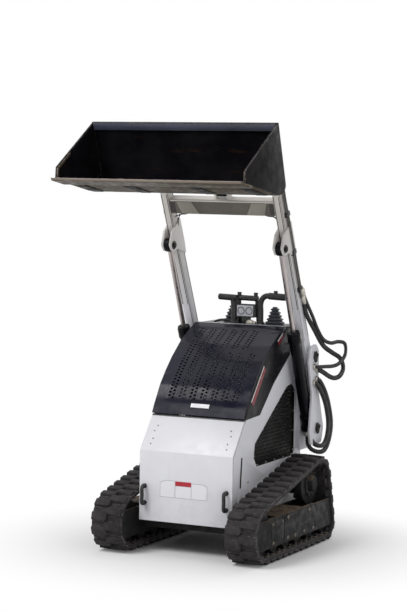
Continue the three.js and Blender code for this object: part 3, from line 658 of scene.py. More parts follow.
def camera():
    """A long lens in front of the machine and to its left, looking slightly down."""
    place, pan, dip, roll = (4.9445, -10.3126, 2.1946), 26.08, 4.06, 0.92
    lens = bpy.data.cameras.new("camera")
    lens.lens = 117.65
    lens.clip_end = 100
    eye = bpy.data.objects.new("camera", lens)
    eye.matrix_world = (
        Matrix.Translation(place) @ Matrix.Rotation(math.radians(pan), 4, "Z")
        @ Matrix.Rotation(math.radians(90 - dip), 4, "X") @ Matrix.Rotation(math.radians(roll), 4, "Z"))
    bpy.context.scene.collection.objects.link(eye)
    bpy.context.scene.camera = eye


# ---------------------------------------------------------------- pieces with true CAD shapes
def dressed(node, width, material=None):
    """The node's own shape with its corners merged and its edges rounded."""
    piece = NODES[node].copy()
    piece.data = NODES[node].data.copy()
    for key in list(piece.keys()):
        del piece[key]
    piece.parent = None
    piece.matrix_world = Matrix.Identity(4)
    bpy.context.scene.collection.objects.link(piece)
    pick(piece)
    bpy.ops.object.mode_set(mode="EDIT")
    bpy.ops.mesh.select_all(action="SELECT")
    bpy.ops.mesh.remove_doubles(threshold=0.00002)
    bpy.ops.mesh.dissolve_limited(angle_limit=math.radians(0.6))
    bpy.ops.object.mode_set(mode="OBJECT")
    soften(piece, width)
    piece.name = piece.data.name = "fine_" + node
    return finish_piece(piece, BODY_OF[node], SLOT_OF[node], (node,), material)


EDGE_WIDTHS = {
    "chassis_tub": 0.002, "rear_panel": 0.0015, "control_deck": 0.002, "side_panel": 0.0012,
    "side_skirt": 0.0012, "tower": 0.003, "track_frame": 0.003, "drive_sprocket": 0.004,
    "front_idler": 0.004, "front_door": 0.002, "lift_arm": 0.004, "arm_crossmember": 0.003,
    "lift_barrel": 0.0025, "lift_rod": 0.002, "tilt_barrel": 0.0025, "tilt_rod": 0.0015,
    "tilt_clevis": 0.002, "bucket_shell": 0.0016, "cutting_edge": 0.003, "hitch_plate": 0.003,
    "hitch_pin": 0.002, "operator_platform": 0.003, "fuel_cap": 0.003,
}


def dress_nodes():
    """Rounds the edges of the nodes listed above; the others keep their shape and get their finish."""
    for node in NODES:
        kind = node.removeprefix("left_").removeprefix("right_")
        if kind in EDGE_WIDTHS:
            dressed(node, EDGE_WIDTHS[kind], TREAD_STEEL if kind == "operator_platform" else None)
        else:
            for slot in NODES[node].material_slots:
                slot.material = FINISHES[SLOT_OF[node]]


# ---------------------------------------------------------------- tracks
REAR_WHEEL_R = 0.105
LUG_HEIGHT = 0.020
BELT_THICK = 0.022
BELT_RUN = 2.64                   # once round the belt
BLOCKS = 34                       # tread blocks in each of a belt's two rows
BLOCK_SHARE = 0.70                # of its row's run that each block fills
DRIVE_TEETH = 11


def leave(wheel, other):
    """The angle at which a belt leaves a wheel (y, z, radius) for another."""
    gap = (other[0] - wheel[0], other[1] - wheel[1])
    return math.atan2(gap[1], gap[0]) - math.acos((wheel[2] - other[2]) / math.hypot(*gap))


def band(side, shrink, step=0.12):
    """The tight loop round a track's three wheels, inset from the tips of the lugs."""
    back_end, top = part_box(f"{side}_track_belt")[1].yz
    drive, idler = centre(f"{side}_drive_sprocket"), centre(f"{side}_front_idler")
    wheels = ((back_end - REAR_WHEEL_R, REAR_WHEEL_R, REAR_WHEEL_R),
              (drive.y, drive.z, top - drive.z), (idler.y, idler.z, idler.z))
    line = []
    for i, (y, z, radius) in enumerate(wheels):
        start = leave(wheels[i - 1], wheels[i])
        end = leave(wheels[i], wheels[(i + 1) % 3])
        while end < start:
            end += 2 * math.pi
        turns = max(2, math.ceil((end - start) / step))
        for k in range(turns + 1):
            angle = start + (end - start) * k / turns
            line.append((y + (radius - shrink) * math.cos(angle),
                         z + (radius - shrink) * math.sin(angle)))
    return line


def stations(line, count, phase=0.0):
    """Evenly spaced (point, forward, outward) along a closed loop in the Y-Z plane."""
    corners = [Vector(c) for c in line]
    edges = [corners[(i + 1) % len(corners)] - c for i, c in enumerate(corners)]
    whole = sum(e.length for e in edges)
    found = []
    for k in range(count):
        left = whole * ((k + phase) % count) / count
        for corner, edge in zip(corners, edges):
            if left <= edge.length:
                break
            left -= edge.length
        forward = edge.normalized()
        found.append((corner + forward * left, forward, Vector((forward.y, -forward.x))))
    return found


def belt_place(x, station, mirror=1):
    """A place on the belt: own X across, own Y along the run, own Z outward."""
    point, forward, outward = station
    return Matrix((
        (mirror, 0, 0, x),
        (0, mirror * forward.x, outward.x, point.x),
        (0, mirror * forward.y, outward.y, point.y),
        (0, 0, 0, 1)))


def tread_block(width, length):
    """One block of the tread: a bent bar, narrower at its top, with its outer end sloping down."""
    inner, outer, half = -0.012, width, length / 2
    outline = ((outer, -half), (outer, half), (0.0, half * 1.02), (inner, half * 0.1), (0.0, -half * 0.86))
    piece = plate("tread_block", outline, lambda x, y: Vector((x, y + 0.08 * x, -0.006)), (0, 0, 0.026))
    for vertex in piece.data.vertices:
        if vertex.co.z > 0:
            vertex.co.y *= 0.80
            vertex.co.x = vertex.co.x * 0.95 + 0.002
            if vertex.co.x > width * 0.8:
                vertex.co.z -= 0.004
    return soften(piece, 0.0035, 2, 20, 50)


def track(side):
    """One belt: its carcass, two rows of tread blocks, guide horns and the irons set in it."""
    low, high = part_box(f"{side}_track_belt")
    middle, width = (low.x + high.x) / 2, high.x - low.x
    line = band(side, LUG_HEIGHT)
    bpy.ops.mesh.primitive_cylinder_add(vertices=len(line), radius=1, depth=width,
                                        end_fill_type="NOTHING")
    carcass = name_it("carcass")
    for vertex in carcass.data.vertices:
        turn = math.atan2(vertex.co.y, vertex.co.x) / (2 * math.pi) * len(line)
        vertex.co = (middle + vertex.co.z, *line[round(turn) % len(line)])
    pick(carcass)
    bpy.ops.object.mode_set(mode="EDIT")
    bpy.ops.mesh.select_all(action="SELECT")
    bpy.ops.mesh.normals_make_consistent(inside=False)
    bpy.ops.object.mode_set(mode="OBJECT")
    modify(carcass, "SOLIDIFY", thickness=BELT_THICK, offset=-1)
    soften(carcass, 0.005, 2, 60, 40)

    length = BLOCK_SHARE * BELT_RUN / BLOCKS
    rows = [belt_place(middle, place) for place in stations(line, BLOCKS, 0.25)]
    rows += [belt_place(middle, place, -1) for place in stations(line, BLOCKS, 0.75)]
    blocks = copies(tread_block(width / 2 - 0.001, length), rows, "blocks")

    inside = band(side, LUG_HEIGHT + BELT_THICK)
    horn = block("horn", (-0.006, -0.017, -0.015), (0.006, 0.017, 0.004))
    for vertex in horn.data.vertices:
        if vertex.co.z < 0:
            vertex.co.y *= 0.45
            vertex.co.x *= 0.6
    soften(horn, 0.0025, 2)
    guides = [belt_place(low.x + offset, place)
              for place in stations(inside, BLOCKS, 0.5) for offset in (0.031, width - 0.031)]
    horns = copies(horn, guides, "horns")
    finish_piece(weld([carcass, blocks, horns], f"{side}_tread"), "chassis", "track_rubber",
                 (f"{side}_track_belt",))

    iron = soften(block("iron", (-0.011, -0.010, -0.003), (0.011, 0.010, 0.002)), 0.002, 1)
    irons = [belt_place(x, place) for place in stations(inside, BLOCKS, 0.0)
             for x in (low.x + 0.020, high.x - 0.020)]
    finish_piece(copies(iron, irons, f"{side}_track_irons"), "chassis", "dark_steel")


def undercarriage(side, hand):
    """Bolts, seam, tensioner cover and hub cover of one track's frame."""
    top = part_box(f"{side}_track_frame")[1].z
    face = outer_x(f"{side}_track_frame", hand)
    inset = face - hand * 0.02
    out = Vector((hand, 0, 0))
    seam = side_plate("seam", oblong(0.250, 0.262, 0.10, 0.242), face - hand * 0.002, hand * 0.004, 0.001)
    lip = block("lip", (min(face, inset), *back(0.05, top - 0.003)),
                (max(face, inset), *back(0.68, top + 0.003)))
    cover = side_plate("cover", ((0.075, 0.13), (0.235, 0.115), (0.235, 0.225), (0.06, 0.225)),
                       face - hand * 0.001, hand * 0.004, 0.0015)
    finish_piece(weld([seam, soften(lip, 0.0015), cover], f"{side}_frame_trim"), "chassis", "dark_steel")
    spots = [(d, 0.108 + 0.002 * (k % 2)) for k, d in enumerate((0.10, 0.30, 0.40, 0.53, 0.66))]
    spots += [(0.09, 0.215), (0.22, 0.215), (0.30, 0.225), (0.60, 0.225)]
    heads = [((face, *back(*place)), out) for place in spots]
    finish_piece(bolts(f"{side}_frame_bolts", heads, 0.0085), "chassis", "worn_edge")

    hub = centre(f"{side}_drive_sprocket")
    end = outer_x(f"{side}_drive_sprocket", hand)

    def on_hub(outward, y=0.0, z=0.0):
        return end + hand * outward, hub.y + y, hub.z + z
    cap = turned("cap", on_hub(-0.020), on_hub(0.012), 0.052, 40, 0.040)
    flange = turned("flange", on_hub(-0.030), on_hub(-0.012), 0.078, 40)
    finish_piece(weld_soft([cap, flange], 0.003, f"{side}_hub_cover"), "chassis", "dark_steel")
    heads = [(on_hub(-0.012, 0.064 * math.cos(a), 0.064 * math.sin(a)), out)
             for a in (k * math.pi / 4 + 0.2 for k in range(8))]
    finish_piece(bolts(f"{side}_hub_bolts", heads, 0.008), "chassis", "dark_steel")
    places = []
    for k in range(DRIVE_TEETH):
        angle = 2 * math.pi * k / DRIVE_TEETH
        outward = Vector((0, math.cos(angle), math.sin(angle)))
        places.append(facing(Vector((hub.x + hand * 0.004, hub.y, hub.z)) + outward * 0.088, outward))
    tooth = block("tooth", (-0.014, -0.012, -0.012), (0.014, 0.012, 0.018))
    finish_piece(copies(soften(tooth, 0.004), places, f"{side}_drive_teeth"), "chassis", "dark_steel")


# ---------------------------------------------------------------- hood
HOOD_LINE = ((0.139, 0.779), (0.160, 0.818), (0.237, 0.934), (0.303, 1.008), (0.377, 1.078),
             (0.485, 1.161), (0.596, 1.222), (0.640, 1.243), (0.685, 1.264))
HOOD_SHEET = 0.005
HOOD_RIM = 0.006
DISH_DEPTH = 0.004                # how far the hood's field is pressed in
SLOT_COLUMNS = (-0.200, -0.133, -0.066, 0.001, 0.068, 0.135, 0.202)
SLOT_STARTS = ((0, -0.0185), (1, 0.0055))   # of even and odd rows, from a column's middle
SLOT_WIDTH = 0.013
SLOT_ROW = 0.011
TOP_BAND, UPPER_ROWS, GAP_ROWS, LOW_BAND = 6, 17, 3, 9   # rows of the sheet, from the top down


def hood_path(line):
    """How the hood runs: where a distance up it lies and which way is out there, and its whole length."""
    corners = [Vector(back(*corner)) for corner in line]
    reach = [0.0]
    for a, b in zip(corners, corners[1:]):
        reach.append(reach[-1] + (b - a).length)

    def at(distance):
        distance = min(max(distance, 0.0), reach[-1])
        k = max(i for i in range(len(corners) - 1) if reach[i] <= distance)
        along = (corners[k + 1] - corners[k]).normalized()
        return corners[k] + along * (distance - reach[k]), Vector((-along.y, along.x))
    return at, reach[-1]


def ramp(value, reach):
    """Rises from 0 at zero to 1 at the reach."""
    return min(1, max(0, value / reach))


def hood_skin(at, length):
    """The bent sheet with its pressed field and staggered slots."""
    xs = [-BODY_HALF, -BODY_HALF + HOOD_RIM]
    holes = {}
    for middle in SLOT_COLUMNS:
        for parity, start in SLOT_STARTS:
            holes[len(xs)] = (middle, parity)
            xs += [middle + start, middle + start + SLOT_WIDTH]
    xs += [BODY_HALF - HOOD_RIM, BODY_HALF]
    columns, rows = len(xs) - 1, int(length / SLOT_ROW)
    upper_end = rows - TOP_BAND - UPPER_ROWS

    def is_slot(column, row):
        if column not in holes:
            return False
        middle, parity = holes[column]
        if row % 2 != parity or row < LOW_BAND or row >= rows - TOP_BAND:
            return False
        if upper_end - GAP_ROWS <= row < upper_end:
            return middle < -0.1
        return row < upper_end or middle < 0.15

    bpy.ops.mesh.primitive_grid_add(x_subdivisions=columns, y_subdivisions=rows, size=1)
    piece = name_it("hood_skin")
    gone = {polygon.index for polygon in piece.data.polygons
            if is_slot(math.floor((polygon.center.x + 0.5) * columns),
                       math.floor((polygon.center.y + 0.5) * rows))}
    for vertex in piece.data.vertices:
        x = xs[round((vertex.co.x + 0.5) * columns)]
        share = vertex.co.y + 0.5
        place, out = at(share * length)
        dish = ramp(BODY_HALF - 0.035 - abs(x), 0.02) * ramp(share - 0.10, 0.03) * ramp(0.93 - share, 0.03)
        vertex.co = (x, *(place - out * DISH_DEPTH * dish))
    drop_faces(piece, lambda p: p.index in gone)
    if sum(p.normal.z * p.area for p in piece.data.polygons) < 0:
        choose(piece, lambda p: True)
        bpy.ops.mesh.flip_normals()
        bpy.ops.object.mode_set(mode="OBJECT")
    modify(piece, "SOLIDIFY", thickness=HOOD_SHEET, offset=-1)
    soften(piece, 0.0012, 1, 50, 40)
    finish_piece(piece, "hood", None, ("hood",), HOOD_PAINT)


def hood():
    """The hood with its side flanges, a pale strip painted as the highlight along its top, and the bare plate
    at its foot.
    """
    at, length = hood_path(HOOD_LINE)
    hood_skin(at, length)
    edge = list(HOOD_LINE[1:])
    flange = edge + [(d + 0.008, z - 0.009) for d, z in reversed(edge)]
    flanges = [side_plate("flange", flange, -hand * BODY_HALF, hand * 0.004, 0.001) for hand in (-1, 1)]
    finish_piece(weld(flanges, "hood_flanges"), "hood", None, material=HOOD_PAINT)

    def strip(name, distance, way, outline, lift, thick, bevel, slot, material=None):
        """A flat strip on the hood: outline gives X and the distance up from a place on its line."""
        place, out = at(distance)
        piece = plate(name, outline, lambda x, v: Vector((x, *(place + way * v + out * lift))),
                      (0, out.x * thick, out.y * thick), bevel)
        finish_piece(piece, "hood", slot, material=material)
    half = BODY_HALF - 0.004
    way = (at(length)[0] - at(length - 0.02)[0]).normalized()
    # a pale strip painted as the highlight along the hood's top edge
    strip("hood_top_highlight", length, way, oblong(-half, half, -0.006, -0.001), 0, 0.0012, 0.0004, None,
          GAUGE_FACE)
    way = (at(0.06)[0] - at(0.04)[0]).normalized()
    strip("hood_plate", 0.052, way, oblong(-0.060, 0.063, -0.010, 0.024), 0.001, 0.002, 0.0006, "grip_black")
    strip("hood_plate_field", 0.052, way, oblong(-0.056, 0.059, -0.005, 0.019), 0.0032, 0.0004, 0, None,
          LABEL_WHITE)


# ---------------------------------------------------------------- body sides
WINDOW = [(0.820, 0.494), (0.842, 0.520), (0.838, 0.880), (0.790, 0.922), (0.715, 0.905), (0.290, 0.625),
          (0.276, 0.545), (0.318, 0.491)]
WINDOW_MIDDLE = Vector((0.60, 0.68))
MESH_PITCH = 0.0105
SIDE_SLOT = ((0.0945, 0.396), (0.1115, 0.394), (0.1255, 0.564), (0.1085, 0.566))


def mesh_window(side, hand):
    """The perforated sheet behind the side window: rows of staggered holes, with rivets round it."""
    low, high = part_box(f"{side}_side_grille")
    columns, rows = round((high.y - low.y) / MESH_PITCH), round((high.z - low.z) / MESH_PITCH)
    bpy.ops.mesh.primitive_grid_add(x_subdivisions=columns, y_subdivisions=rows, size=1)
    piece = name_it(f"{side}_window_mesh")
    outline = [Vector(back(*c)) for c in WINDOW]

    def inside(point, margin):
        for a, b in zip(outline, outline[1:] + outline[:1]):
            edge = (b - a).normalized()
            if edge.x * (point.y - a.y) - edge.y * (point.x - a.x) < margin:
                return False
        return True

    x = outer_x(f"{side}_side_grille", -hand)
    gone = set()
    for polygon in piece.data.polygons:
        column = math.floor((polygon.center.x + 0.5) * columns)
        row = math.floor((polygon.center.y + 0.5) * rows)
        place = Vector((low.y + (column + 0.5) * MESH_PITCH, low.z + (row + 0.5) * MESH_PITCH))
        hole = row % 2 == 0 and (column + row // 2) % 2 == 0 and inside(place, 0.012)
        if hole or not inside(place, -0.012):
            gone.add(polygon.index)
    for vertex in piece.data.vertices:
        vertex.co = (x, low.y + (vertex.co.x + 0.5) * (high.y - low.y),
                     low.z + (vertex.co.y + 0.5) * (high.z - low.z))
    drop_faces(piece, lambda p: p.index in gone)
    modify(piece, "SOLIDIFY", thickness=0.002, offset=0)
    finish_piece(piece, "chassis", "black_mesh", (f"{side}_side_grille",))

    frame_face = hand * (BODY_HALF - 0.003)
    rim, spots = [], []
    for a, b in zip(WINDOW, WINDOW[1:] + WINDOW[:1]):
        a, b = Vector(a), Vector(b)
        outline = (a, b, b.lerp(WINDOW_MIDDLE, 0.03), a.lerp(WINDOW_MIDDLE, 0.03))
        rim.append(side_plate("rim", outline, frame_face, hand * 0.002))
        steps = max(1, round((b - a).length / 0.12))
        for k in range(steps):
            spot = a.lerp(b, k / steps).lerp(WINDOW_MIDDLE, 0.045)
            spots.append(((frame_face, *back(*spot)), (hand, 0, 0)))
    finish_piece(weld(rim, f"{side}_window_rim"), "chassis", "black_mesh")
    finish_piece(dome_heads(f"{side}_window_rivets", spots, 0.0045), "chassis", "plated_cap")


def stripes(side, hand):
    """Red bars with a white edge on the black skirt."""
    face = hand * (BODY_HALF + 0.0002)
    for name, low, high, width in (("lower", (0.235, 0.862), (0.400, 1.052), 0.030),
                                   ("upper", (0.585, 1.180), (0.655, 1.222), 0.022)):
        low, high = Vector(low), Vector(high)
        along = (high - low).normalized()
        down = Vector((along.y, -along.x))
        red = [low, high, high + down * width, low + down * width * 1.15]
        white = [low - down * 0.008, high - down * 0.008, high, low]
        for part, corners, material in (("red", red, RED_STRIPE), ("white", white, WHITE_STRIPE)):
            strip = side_plate(f"{side}_{name}_{part}_stripe", corners, face, hand * 0.0006)
            finish_piece(strip, "chassis", None, material=material)


def side_fittings(side, hand):
    """A black sheet painted as the shadow in the slot low on the side, the liner behind it, and the bolts and
    heads round the panel and the skirt.
    """
    face = hand * BODY_HALF
    out = (hand, 0, 0)
    behind = hand * (BODY_HALF - 0.012)
    liner = block(f"{side}_liner", (behind - 0.002, *back(0.075, 0.375)),
                  (behind + 0.002, *back(0.160, 0.585)))
    finish_piece(soften(liner, 0.001), "chassis", "black_mesh")
    # a thin black sheet on the panel's face, painted as the shadow inside the slot
    shadow = side_plate(f"{side}_side_slot_shadow", SIDE_SLOT, face - hand * 0.0002, hand * 0.0008)
    finish_piece(shadow, "chassis", "black_mesh")
    panel = ((0.04, 0.22), (0.30, 0.22), (0.56, 0.22), (0.90, 0.60), (0.90, 0.95), (0.90, 1.20), (0.20, 0.42))
    skirt = ((0.22, 0.805), (0.45, 0.90), (0.62, 1.03), (0.72, 1.16))
    heads = [((face, *back(*place)), out) for place in panel]
    finish_piece(bolts(f"{side}_panel_bolts", heads, 0.007), "chassis", "plated_cap")
    heads = [((face, *back(*place)), out) for place in skirt]
    finish_piece(dome_heads(f"{side}_skirt_heads", heads, 0.006), "chassis", "grip_black")


# ---------------------------------------------------------------- front door
LABEL_RIM = 0.0022


def door_label():
    """A bare label of three pale fields and a red header, each field on a rim."""
    fields = {
        "left": [(-0.157, 0.328), (-0.066, 0.328), (-0.066, 0.420), (-0.120, 0.420), (-0.157, 0.408)],
        "right": [(0.038, 0.328), (0.134, 0.328), (0.134, 0.402), (0.105, 0.413), (0.038, 0.413)],
        "middle": oblong(-0.063, 0.036, 0.328, 0.393),
    }

    def sheet(name, outline, lift, thick, material):
        piece = plate(name, outline, lambda x, z: Vector((x, NOSE - lift, z)), (0, -thick, 0))
        finish_piece(piece, "front_door", None, material=material)
    for name, outline in fields.items():
        sheet(f"label_{name}_field", outline, 0.0002, 0.0006, LABEL_WHITE)
    sheet("label_header", oblong(-0.063, 0.036, 0.395, 0.420), 0.0002, 0.0006, LABEL_RED)
    for name, outline in fields.items():
        corners = [Vector(corner) for corner in outline]
        heart = sum(corners, Vector((0, 0))) / len(corners)
        grown = [(c.x + math.copysign(LABEL_RIM, c.x - heart.x),
                  c.y + math.copysign(LABEL_RIM, c.y - heart.y)) for c in corners]
        sheet(f"label_{name}_rim", grown, 0.0001, 0.0003, LABEL_EDGE)


def door_screws():
    """Four screw heads at each end of the door's slope."""
    foot, top = Vector(back(0, 0.582)), Vector(back(0.145, 0.768))
    up = (top - foot).normalized()
    out = Vector((0, -up.y, up.x))
    spots = [((x + math.copysign(shift, x), *(foot + up * step)), out) for x in (-0.225, 0.225)
             for step, shift in ((0.045, 0.012), (0.080, -0.008), (0.130, 0.014), (0.165, -0.004))]
    finish_piece(dome_heads("door_screws", spots, 0.0042), "front_door", "grip_black")


def grab_handle(side):
    """A bent bar on two round feet."""
    low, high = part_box(f"{side}_door_handle")
    x, depth = (low.x + high.x) / 2, low.y
    points = [(x, NOSE, low.z + 0.004), (x, depth + 0.012, low.z + 0.004), (x, depth + 0.006, low.z + 0.012),
              (x, depth + 0.0065, (low.z + high.z) / 2), (x, depth + 0.006, high.z - 0.012),
              (x, depth + 0.012, high.z - 0.004), (x, NOSE, high.z - 0.004)]
    bar = tube("bar", points, 0.0105, 12)
    feet = [soften(turned("foot", (x, NOSE, z), (x, NOSE - 0.006, z), 0.014), 0.002)
            for z in (low.z + 0.005, high.z - 0.005)]
    finish_piece(weld([bar, *feet], f"{side}_grab_handle"), "front_door", "grip_black",
                 (f"{side}_door_handle",))


# ---------------------------------------------------------------- controls on the deck
LEVER_Y = centre("left_lever_boot").y
BOOT_FOLDS = 5
CAP_RIBS = 10


def spun(name, line, place, sides=32):
    """A round body turned from (radius, height) corners about an upright line at place."""
    bpy.ops.mesh.primitive_circle_add(vertices=len(line), radius=1, fill_type="NOTHING")
    piece = name_it(name)
    for vertex, (radius, height) in zip(piece.data.vertices, line):
        vertex.co = (radius, 0, height)
    pick(piece)
    bpy.ops.object.mode_set(mode="EDIT")
    bpy.ops.mesh.select_mode(type="EDGE")
    bpy.ops.mesh.select_all(action="DESELECT")
    bpy.ops.object.mode_set(mode="OBJECT")
    for edge in piece.data.edges:
        edge.select = set(edge.vertices) == {0, len(line) - 1}
    bpy.ops.object.mode_set(mode="EDIT")
    bpy.ops.mesh.delete(type="EDGE")
    bpy.ops.mesh.select_all(action="SELECT")
    bpy.ops.mesh.spin(steps=sides, angle=2 * math.pi, center=(0, 0, 0), axis=(0, 0, 1))
    bpy.ops.mesh.select_all(action="SELECT")
    bpy.ops.mesh.remove_doubles(threshold=0.0001)
    bpy.ops.mesh.normals_make_consistent(inside=False)
    bpy.ops.object.mode_set(mode="OBJECT")
    bpy.ops.object.shade_smooth_by_angle(angle=math.radians(60))
    piece.location = place
    return settle(piece)


def bellows(side):
    """A pleated boot that narrows from its flange to the lever's neck."""
    middle = centre(f"{side}_lever_boot")
    low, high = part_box(f"{side}_lever_boot")
    base, tall = (high.x - low.x) / 2, high.z - low.z
    rise = (tall - 0.012) / BOOT_FOLDS
    line = [(0.0, 0.0), (base + 0.004, 0.0), (base + 0.004, 0.006), (base - 0.002, 0.010)]
    for k in range(BOOT_FOLDS):
        share = k / BOOT_FOLDS
        swell = base - (base - 0.018) * share
        foot = 0.010 + (tall - 0.012) * share
        line += [(swell + out, foot + rise * up) for out, up in
                 ((-0.006, 0.06), (0, 0.22), (0.001, 0.42), (-0.005, 0.66), (-0.014, 0.88))]
    line += [(0.016, tall), (0.0, tall)]
    piece = spun(f"{side}_bellows", line, (middle.x, middle.y, low.z))
    finish_piece(piece, "chassis", "boot_rubber", (f"{side}_lever_boot",))


def handle_bars():
    """The drive levers and the bar between them: bent tubes with moulded grips, feet and thumb knobs."""
    y, thick = LEVER_Y, 0.0165

    def foot(x):
        return soften(turned("foot", (x, y, deck), (x, y, deck + 0.020), 0.026, 28, 0.020), 0.003)
    low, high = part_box("left_control_handle")
    x, deck, top = low.x + thick, low.z, high.z - thick
    stem = tube("stem", [(x, y, deck), (x, y, deck + 0.075), (x + 0.002, y, top - 0.033),
                         (x + 0.024, y, top - 0.005), (x + 0.068, y, top), (high.x - 0.004, y, top - 0.004)],
                thick, 16, 6)
    grip = turned("grip", (x + 0.050, y, top), (high.x + 0.003, y, top - 0.004), 0.0205, 28)
    knob = turned("knob", (x + 0.094, y, top + 0.008), (x + 0.094, y, top + 0.032), 0.0105, 20, 0.0125)
    parts = [stem, soften(grip, 0.004, 3), foot(x), soften(knob, 0.003)]
    finish_piece(weld(parts, "left_drive_handle"), "chassis", "grip_black", ("left_control_handle",))

    low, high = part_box("right_control_handle")
    x, top = high.x - thick, high.z - thick
    bar = turned("bar", (low.x, y, top), (x + 0.022, y, top - 0.004), 0.0185, 28)
    stem = tube("stem", [(x, y, deck), (x + 0.001, y, deck + 0.07), (x - 0.003, y, deck + 0.115),
                         (x - 0.008, y, top)], thick, 16, 6)
    neck = tube("neck", [(x + 0.004, y + 0.01, deck), (x + 0.014, y + 0.006, deck + 0.09),
                         (x + 0.020, y, top)], 0.013, 14, 6)
    parts = [soften(bar, 0.006, 3), stem, neck, foot(x)]
    finish_piece(weld(parts, "right_drive_handle"), "chassis", "grip_black", ("right_control_handle",))

    low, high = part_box("cross_handle")
    x, rail_y = low.x + 0.013, y + 0.012
    rail = turned("rail", (x, rail_y, top - 0.002), (high.x, rail_y, top - 0.004), 0.0165, 28)
    posts = [turned("post", (at, y + 0.045, deck), (at, y + 0.016, top), 0.011) for at in (x, high.x - 0.012)]
    knobs = [turned("knob", (at, rail_y, top + 0.005), (at, rail_y, high.z), 0.011, 20, 0.0135)
             for at in (x + 0.004, high.x - 0.016)]
    parts = [soften(rail, 0.005, 3), *posts, *[soften(knob, 0.003) for knob in knobs]]
    finish_piece(weld(parts, "tool_handle"), "chassis", "grip_black", ("cross_handle",))


def gauge():
    """A case with a bevelled front, a pale face, two round dials with plain ticks, and a key."""
    low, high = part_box("gauge_box")
    front = low.y - 0.010
    case = block("case", (low.x, front, low.z + 0.040), high)
    choose(case, lambda p: p.normal.y < -0.9)
    bpy.ops.mesh.inset(thickness=0.006, depth=0)
    bpy.ops.mesh.extrude_region_move(TRANSFORM_OT_translate={"value": (0, 0.004, 0)})
    bpy.ops.object.mode_set(mode="OBJECT")
    middle = (low.x + high.x) / 2
    foot = block("foot", (middle - 0.025, low.y, low.z), (middle + 0.025, high.y, low.z + 0.045))
    finish_piece(weld_soft([case, foot], 0.003, "gauge_case"), "chassis", "gauge_grey", ("gauge_box",))
    face = block("gauge_face", (low.x + 0.007, front + 0.0025, low.z + 0.047),
                 (high.x - 0.007, front + 0.0045, high.z - 0.007))
    finish_piece(soften(face, 0.001), "chassis", None, material=GAUGE_FACE)
    dials, marks = [], []
    radius, z = 0.021, (low.z + 0.040 + high.z) / 2
    for x in (middle - 0.026, middle + 0.026):
        dials.append(ring("dial", (x, front + 0.002, z), (0, 1, 0), radius, 0.002))
        for k in range(9):
            angle = math.radians(-30 + 30 * k)
            spot = Vector((math.cos(angle), 0, math.sin(angle)))
            start = Vector((x, front + 0.002, z)) + spot * radius * 0.66
            marks.append(turned("mark", start, start + spot * radius * 0.24, 0.0007, 6))
        pivot = Vector((x, front + 0.0015, z))
        marks.append(turned("needle", pivot, pivot + Vector((0.010, 0, 0.009)), 0.0009, 6))
    finish_piece(weld(dials + marks, "gauge_dials"), "chassis", "gauge_grey")
    x, y = high.x + 0.012, low.y - 0.03
    key = turned("key", (x, y, DECK_Z), (x, y, DECK_Z + 0.022), 0.010)
    finish_piece(soften(key, 0.002), "chassis", "plated_cap")


def deck_clutter():
    """Filler cap ribs, a hose stub and bolts along the deck's front."""
    place = centre("fuel_cap")
    low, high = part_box("fuel_cap")
    crown = turned("crown", (place.x, place.y, high.z - 0.004), (place.x, place.y, high.z + 0.004),
                   0.019, 28, 0.015)
    cap = [soften(crown, 0.002)]
    for k in range(CAP_RIBS):
        angle = 2 * math.pi * k / CAP_RIBS
        spot = Vector((place.x + 0.0225 * math.cos(angle), place.y + 0.0225 * math.sin(angle), low.z))
        cap.append(turned("rib", spot, spot + Vector((0, 0, 0.018)), 0.003, 8))
    finish_piece(weld(cap, "fuel_cap_ribs"), "chassis", "plated_cap")
    heads = [((x, DECK_FRONT + 0.018, DECK_Z), (0, 0, 1)) for x in (-0.26, -0.17, -0.09, 0.11, 0.19, 0.27)]
    finish_piece(bolts("deck_bolts", heads, 0.007), "chassis", "plated_cap")
    run = [(x, DECK_FRONT + d, DECK_Z + up) for x, d, up in
           ((-0.20, 0.05, 0.004), (-0.17, 0.045, 0.016), (-0.12, 0.05, 0.018), (-0.08, 0.06, 0.004))]
    finish_piece(tube("stub", run, 0.007, 10), "chassis", "hose_rubber")


# ---------------------------------------------------------------- arms and cylinders
ARM_PIVOT, ARM_KNEE = (0.848, 1.080), (0.311, 2.231)
LIFT_BASE, LIFT_EYE = (0.895, 0.655), (0.450, 1.722)
ARM_FACE = ARM_X + 0.021
TOWER_FACE = ARM_X + 0.050
# the hoses' routes: distance outside the arm's middle, distance behind the nose, and height
BARREL_HOSES = {
    "outer": ((0, .895, .624), (0, .895, .599), (.008, .884, .560), (.034, .886, .526), (.070, .930, .510),
              (.076, 1.000, .530), (.076, 1.056, .600), (.076, 1.066, .680), (.076, 1.020, .790),
              (.076, .960, .870), (.070, .905, .928), (.060, .886, .946), (.0505, .886, .946)),
    "inner": ((.020, .872, .640), (.034, .862, .600), (.052, .882, .560), (.076, .930, .548),
              (.076, .985, .566), (.076, 1.020, .620), (.076, 1.022, .690), (.076, .985, .780),
              (.076, .930, .850), (.072, .875, .905), (.060, .850, .926), (.0505, .850, .926)),
}
ARM_BOWS = {
    "low": ((.0505, .886, 1.000), (.060, .886, 1.000), (.068, .930, .988), (.062, 1.100, .936),
            (.060, 1.220, .932), (.058, 1.288, .975), (.056, 1.240, 1.040), (.056, 1.110, 1.085),
            (.060, .960, 1.140), (.056, .840, 1.235), (.0345, .760, 1.335), (.0345, .718, 1.420)),
    "high": ((.0505, .850, 1.020), (.072, .856, 1.020), (.090, .920, 1.018), (.094, 1.050, 1.012),
             (.093, 1.150, 1.024), (.092, 1.232, 1.066), (.091, 1.225, 1.130), (.089, 1.130, 1.150),
             (.084, 1.020, 1.150), (.078, .920, 1.178), (.070, .850, 1.240), (.060, .795, 1.318),
             (.046, .738, 1.400), (.0365, .690, 1.470)),
}
BOW_RADII = {"low": 0.0125, "high": 0.0095}
SHADE_LINE_HALF = 0.0022              # half the width of a dark line painted as shade along an arm
BEAM_FRONT = Vector((0, -0.9062, -0.4228))   # the way the crossmember's front face looks
BULKHEAD_PORTS = ((.886, .946), (.850, .926), (.886, 1.000), (.850, 1.020))


